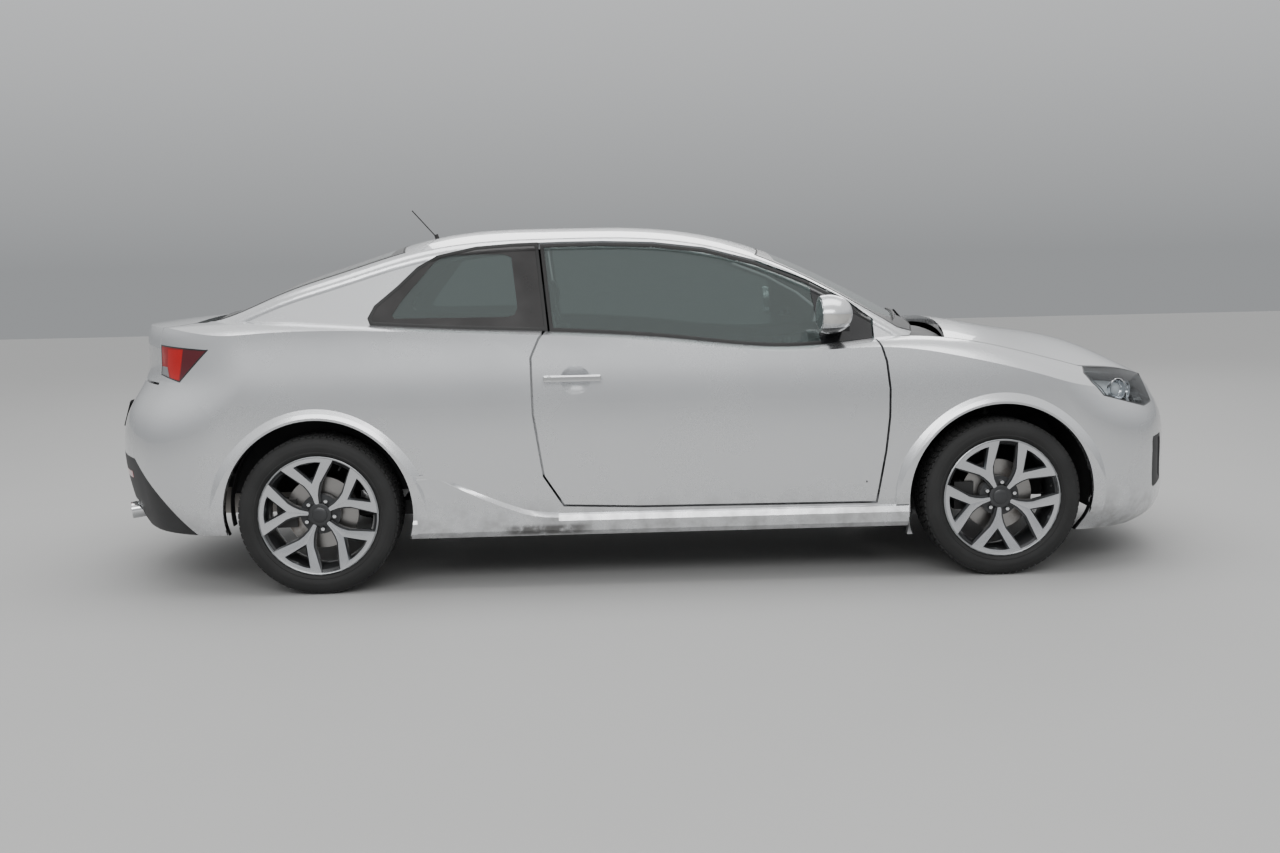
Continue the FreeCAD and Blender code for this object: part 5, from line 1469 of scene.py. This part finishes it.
def makeDashboardTrim():
    shape = Shape()
    for vent in dash["vents"]:
        addVent(shape, *vent)
    y, z, width, height = dash["screen"]
    for inset, radius, depths, paint in ((0, 8, (1, -5), 0), (9, 3, (-5.2, -5.6), 3)):
        ring = rounded(width / 2 - inset, height / 2 - inset, radius)
        shape.loft(upright(ring, depths, (dashFace(z), y, z)), paint)
    knob = Shape()
    knob.spin([(0, 17), (15, 17), (18, 13), (19, 0), (0, 0)], 28, 2, False)
    for y in dash["knobs"]:
        place = Matrix.Translation((dashFace(dash["knobZ"]) - 0.5, y, dash["knobZ"]))
        shape.join(knob.moved(place @ turnBy(90, "Z")))
    hood = dash["hood"]
    start, end, tall = hood["from"], hood["to"], hood["high"] - hood["low"]
    section = ((start, 0, 1.0), (start - 6, 3, 1.0), (end, 0, 0.45), (end, -4, 0.3), (start + 8, -5, 0.94))
    rings = []
    for k in range(19):
        angle = math.pi * k / 18
        sideways, rise = math.cos(angle), math.sin(angle) ** 0.7
        rings.append([Vector((x, hood["middle"] - sideways * (hood["half"] + grow),
                              hood["low"] + rise * (tall + grow) * part)) for x, grow, part in section])
    shape.loft(rings)
    dial = dialShape(dash["dialR"])
    for y in dash["dials"]:
        place = Matrix.Translation((dashFace(dash["dialZ"]) - 1.0, y, dash["dialZ"]))
        shape.join(dial.moved(place @ turnBy(90, "Z")))
    (y0, y1), (z0, z1) = dash["glove"]
    middle, level = (y0 + y1) / 2, (z0 + z1) / 2
    rings = []
    for depth, grow in ((1, 0), (-2.5, 0), (-4, -3)):
        ring = rounded((y1 - y0) / 2 + grow, (z1 - z0) / 2 + grow, 16)
        rings.append([Vector((kneeFace(level + b) + depth, middle + a, level + b)) for a, b in ring])
    shape.loft(rings)
    # near-black for the vents' openings: painted shade
    dark = plasticFinish("ventBlack", (0.004, 0.004, 0.004), 0.7)
    white = plasticFinish("dialMarks", (0.55, 0.55, 0.55), 0.5, strength=0.0)
    needle = plasticFinish("dialNeedle", (0.6, 0.12, 0.02), 0.5, strength=0.0)
    screen = plasticFinish("screenGlass", (0.006, 0.008, 0.01), 0.08, strength=0.0, coat=0.6)
    makePiece("dashboardTrim", shape.inMetres(), [plastic, dark, white, screen, needle])


doorCard = {
    "outline": ((-380, 420), (-330, 352), (-240, 340), (800, 340), (820, 372), (826, 862), (-426, 868),
                (-430, 560)),
    "wall": 8, "face": 752, "insert": ((-330, 640), (560, 640), (600, 800), (-350, 806)),
    "arm": ((-300, 596), (330, 640)), "armOut": 54, "speaker": (560, 470, 74),
    "pull": ((260, 10, 690), (264, 22, 692), (320, 24, 696), (334, 12, 694)),
    "pocket": ((-120, 392), (440, 500)),
}


def sheet(outline, near, far, shrink):
    # a flat sheet seen from the side, its far edge drawn in towards its middle
    cx, cz = (sum(values) / len(outline) for values in zip(*outline))
    rings = []
    for depth, inset in ((near, 0.0), (far + 1.5, 0.0), (far, shrink)):
        ring = []
        for x, z in outline:
            ring.append(Vector((x - math.copysign(min(inset, abs(x - cx)), x - cx), depth,
                                z - math.copysign(min(inset, abs(z - cz)), z - cz))))
        rings.append(ring)
    return rings


def cardShape():
    # the left card; its finishes are plastic, cloth, rubber and metal
    shape = Shape()
    face = doorCard["face"]
    skin = face - doorCard["wall"]
    base = skin + 0.5
    shape.loft(sheet(doorCard["outline"], face - 0.4, skin, 2.5), 0)
    shape.loft(sheet(doorCard["insert"], base, skin - 4, 5.5), 1)
    (x0, z0), (x1, z1) = doorCard["arm"]
    rings = []
    for part in (0.0, 0.04, 0.12, 0.5, 0.85, 0.96, 1.0):
        swell = math.sin(math.pi * (0.06 + part * 0.88)) ** 0.35
        out = doorCard["armOut"] * swell
        x, z = x0 + (x1 - x0) * part, z0 + (z1 - z0) * part
        rings.append([Vector((x, base - d, z + h)) for d, h in (
            (0, -28 * swell), (out * 0.75, -22 * swell), (out, -8), (out, 8), (out - 8, 15), (0, 17))])
    shape.loft(rings)
    speaker = Shape()
    x, z, r = doorCard["speaker"]
    speaker.spin([(0, 5), (r * 0.4, 4.6), (r * 0.85, 3), (r * 0.9, 1.2), (r, 3.2), (r + 3, 0), (r + 3, -1)],
                 48, 2, False)
    shape.join(speaker.moved(Matrix.Translation((x, skin, z)) @ mirrorY, True))
    shape.tube([(x, face - d, z) for x, d, z in doorCard["pull"]], [5, 6, 6, 5], 3, 10, squash=0.8)
    (x0, z0), (x1, z1) = doorCard["pocket"]
    section = ((0, z0), (20, z0 + 6), (30, z1 - 8), (30, z1), (26, z1), (24, z1 - 10), (0, z1 - 12))
    ends = ((x0, 0.4), (x0 + 30, 1), (x1 - 30, 1), (x1, 0.4))
    shape.loft([[Vector((x, base - d * part, z)) for d, z in section] for x, part in ends])
    return shape


def makeDoorCards():
    felt = clothFinish("cardCloth", (0.03, 0.03, 0.032), (0.085, 0.085, 0.09))
    card = cardShape()
    for side, sign in sides:
        shape = card.moved(Matrix.Diagonal((mm, sign * mm, mm, 1)), sign < 0)
        makePiece(f"doorCard_{side}", shape, [plastic, felt, rubber, alloy], f"door_{side}")


cabinMirror = {"at": (548, 0, 1228), "half": 112, "height": 30, "deep": 14, "tilt": -12}
sideMirror = {
    "at": (633.6, 882, 1037), "wide": 84, "high": 55, "rings": ((0.5, 1.0), (-0.6, 1.0), (-1.2, 0.96)),
}


def makeMirrors():
    glass = metalFinish("mirrorGlass", (0.62, 0.65, 0.66), 0.03, strength=0.0)
    shape = Shape()
    half, up, deep = cabinMirror["half"], cabinMirror["height"], cabinMirror["deep"]
    rings = []
    for depth, grow in ((-deep, 0), (deep * 0.4, -2), (deep, -12)):
        rings += upright(rounded(half + grow, up + grow, 22 + grow, 5), (depth,))
    shape.loft(rings)
    shape.loft(upright(rounded(half - 5, up - 5, 18, 5), (-deep + 0.5, -deep - 0.6)), 1)
    x, y, z = cabinMirror["at"]
    shape = shape.moved(Matrix.Translation((x, y, z)) @ turnBy(cabinMirror["tilt"])).inMetres()
    # its stem reaches up to the windscreen
    start, ahead = Vector((x + 40, y, z - 60)) * mm, Vector((0.2, 0, 1)).normalized()
    foot = treeOf("fixed_windows").ray_cast(start, ahead)[0]
    middle = Vector((x + 6, y, z)) * mm
    stem = [middle, middle + Vector((0.022, 0, 0.012)), foot - Vector((0, 0, 0.0008))]
    shape.tube(stem, [0.008, 0.009, 0.013], 0, 14)
    makePiece("cabinMirror", shape, [plastic, glass])
    x, y, z = sideMirror["at"]
    wide, high = sideMirror["wide"], sideMirror["high"]
    for side, sign in sides:
        rings = []
        for depth, part in sideMirror["rings"]:
            ring = [(wide * part * a, high * part * b) for a, b in circle(48)]
            rings += upright(ring, (depth,), (x, sign * y, z))
        pane = Shape()
        pane.loft([[p * mm for p in ring] for ring in rings])
        makePiece(f"sideMirrorGlass_{side}", pane, [glass], f"door_{side}")


console = {
    "half": 96, "low": 391, "high": 470,
    # along the tunnel: x, how far the top is raised, half width drawn in
    "stations": ((-260, -8, 8), (-230, 6, 0), (60, 0, 0), (140, -14, 0), (460, 0, 0), (630, 60, 0),
                 (660, 70, 0)),
    "leverX": 270, "gaiter": ((0, 1.0), (14, 0.8), (22, 0.84), (36, 0.56), (42, 0.6), (62, 0.3), (78, 0.2)),
    "knob": ((0, -26), (12, -24), (19, -10), (24, 6), (22, 20), (12, 27), (0, 28)),
    "brake": ((-60, 38, -4), (-10, 38, 16), (90, 38, 36), (150, 38, 44)),
}


def makeConsole():
    # tunnel cover with gear lever and hand brake
    low, high, leverX = console["low"], console["high"], console["leverX"]
    shape = Shape()
    rings = []
    for x, lift, inset in console["stations"]:
        top, wide = high + lift, console["half"] - inset
        rings.append([Vector((x, y, z)) for y, z in (
            (-wide, low), (wide, low), (wide, top - 12), (wide - 12, top), (-wide + 12, top),
            (-wide, top - 12))])
    shape.loft(rings)
    shape.loft([[Vector((leverX + a * part, b * part, high - 12 + rise)) for a, b in rounded(52, 42, 20)]
                for rise, part in console["gaiter"]], 1)
    shape.tube([(leverX, 0, high + 50), (leverX - 6, 0, high + 105)], 6, 2, 12)
    knob = Shape()
    knob.spin(console["knob"], 28, 0, False)
    shape.join(knob.moved(Matrix.Translation((leverX - 7, 0, high + 118)) @ turnBy(90, "X")))
    shape.tube([(x, y, high + z) for x, y, z in console["brake"]], [15, 13, 11, 13], 0, 14, squash=1.2)
    makePiece("tunnelConsole", shape.inMetres(), [plastic, rubber, alloy])


makePads()
makeSeatFrames()
makeSteeringWheel()
makeDashboardTrim()
makeDoorCards()
makeMirrors()
makeConsole()
print("cabin made")

# camera where the photograph was taken from
photo = {
    "place": (-0.23687, -6.06, 1.26181), "lens": 38.37, "yaw": 0.03427, "pitch": 0.12237, "roll": -0.02086,
}


def addCamera():
    data = bpy.data.cameras.new("photoCamera")
    data.lens = photo["lens"]
    data.sensor_width = 36.0
    camera = linked(data)
    yaw, pitch, roll = photo["yaw"], photo["pitch"], photo["roll"]
    ahead = Vector((math.sin(yaw), math.cos(yaw), 0.0))
    level = Vector((math.cos(yaw), -math.sin(yaw), 0.0))
    up = Vector((0.0, 0.0, 1.0))
    forward = ahead * math.cos(pitch) - up * math.sin(pitch)
    raised = up * math.cos(pitch) + ahead * math.sin(pitch)
    right = level * math.cos(roll) + raised * math.sin(roll)
    top = raised * math.cos(roll) - level * math.sin(roll)
    turn = Matrix((right, top, -forward)).transposed().to_4x4()
    camera.matrix_world = Matrix.Translation(photo["place"]) @ turn
    bpy.context.scene.camera = camera


addCamera()

studio = {
    "floor": 40.0, "floorColour": (0.42, 0.42, 0.415),
    "sky": ((0.0, (0.34, 0.35, 0.36)), (0.14, (0.60, 0.61, 0.62)), (0.38, (0.98, 0.99, 1.0)),
            (1.0, (1.0, 1.0, 1.0))),
    "skyStrength": 0.95, "aim": (0.0, 0.0, 0.6),
    # place, size and power of each lamp
    "lamps": {
        "overheadBox": ((0.0, 0.0, 6.0), (8.0, 4.0), 260.0),
        "nearSideBox": ((-1.0, -7.5, 5.0), (7.0, 2.5), 240.0),
        "farSideBox": ((1.0, 8.0, 4.5), (7.0, 2.5), 160.0),
    },
}


def addStudio():
    finish = Finish("paleFloor", roughness=0.6)
    patch = finish.noise(2.5, 5.0)
    low = studio["floorColour"]
    finish.set(colour=finish.mix(patch, tuple(c * 0.97 for c in low), low))
    half = studio["floor"] / 2
    mesh = bpy.data.meshes.new("studioFloor")
    ends = [(-half, -half, 0), (half, -half, 0), (half, half, 0), (-half, half, 0)]
    mesh.from_pydata(ends, [], [(0, 1, 2, 3)])
    mesh.materials.append(finish.material)
    linked(mesh)

    world = bpy.data.worlds.new("studioSky")
    world.use_nodes = True
    tree = world.node_tree
    background = tree.nodes["Background"]
    background.inputs["Strength"].default_value = studio["skyStrength"]
    coordinates = addNode(tree, "ShaderNodeTexCoord")
    rise = addNode(tree, "ShaderNodeSeparateXYZ", inputs={0: coordinates.other("Generated")}).other("Z")
    ramp = addNode(tree, "ShaderNodeValToRGB", {"stops": studio["sky"]}, {0: rise})
    tree.links.new(ramp.socket, background.inputs["Color"])
    bpy.context.scene.world = world

    for name, (place, size, power) in studio["lamps"].items():
        data = bpy.data.lights.new(name, "AREA")
        data.shape = "RECTANGLE"
        data.size, data.size_y = size
        data.energy = power
        lamp = linked(data)
        aim = Vector(studio["aim"]) - Vector(place)
        lamp.matrix_world = Matrix.Translation(place) @ aim.to_track_quat("-Z", "Y").to_matrix().to_4x4()


addStudio()
print("camera, floor and lights placed")


def corners(box):
    return [list(corner) for corner in box]
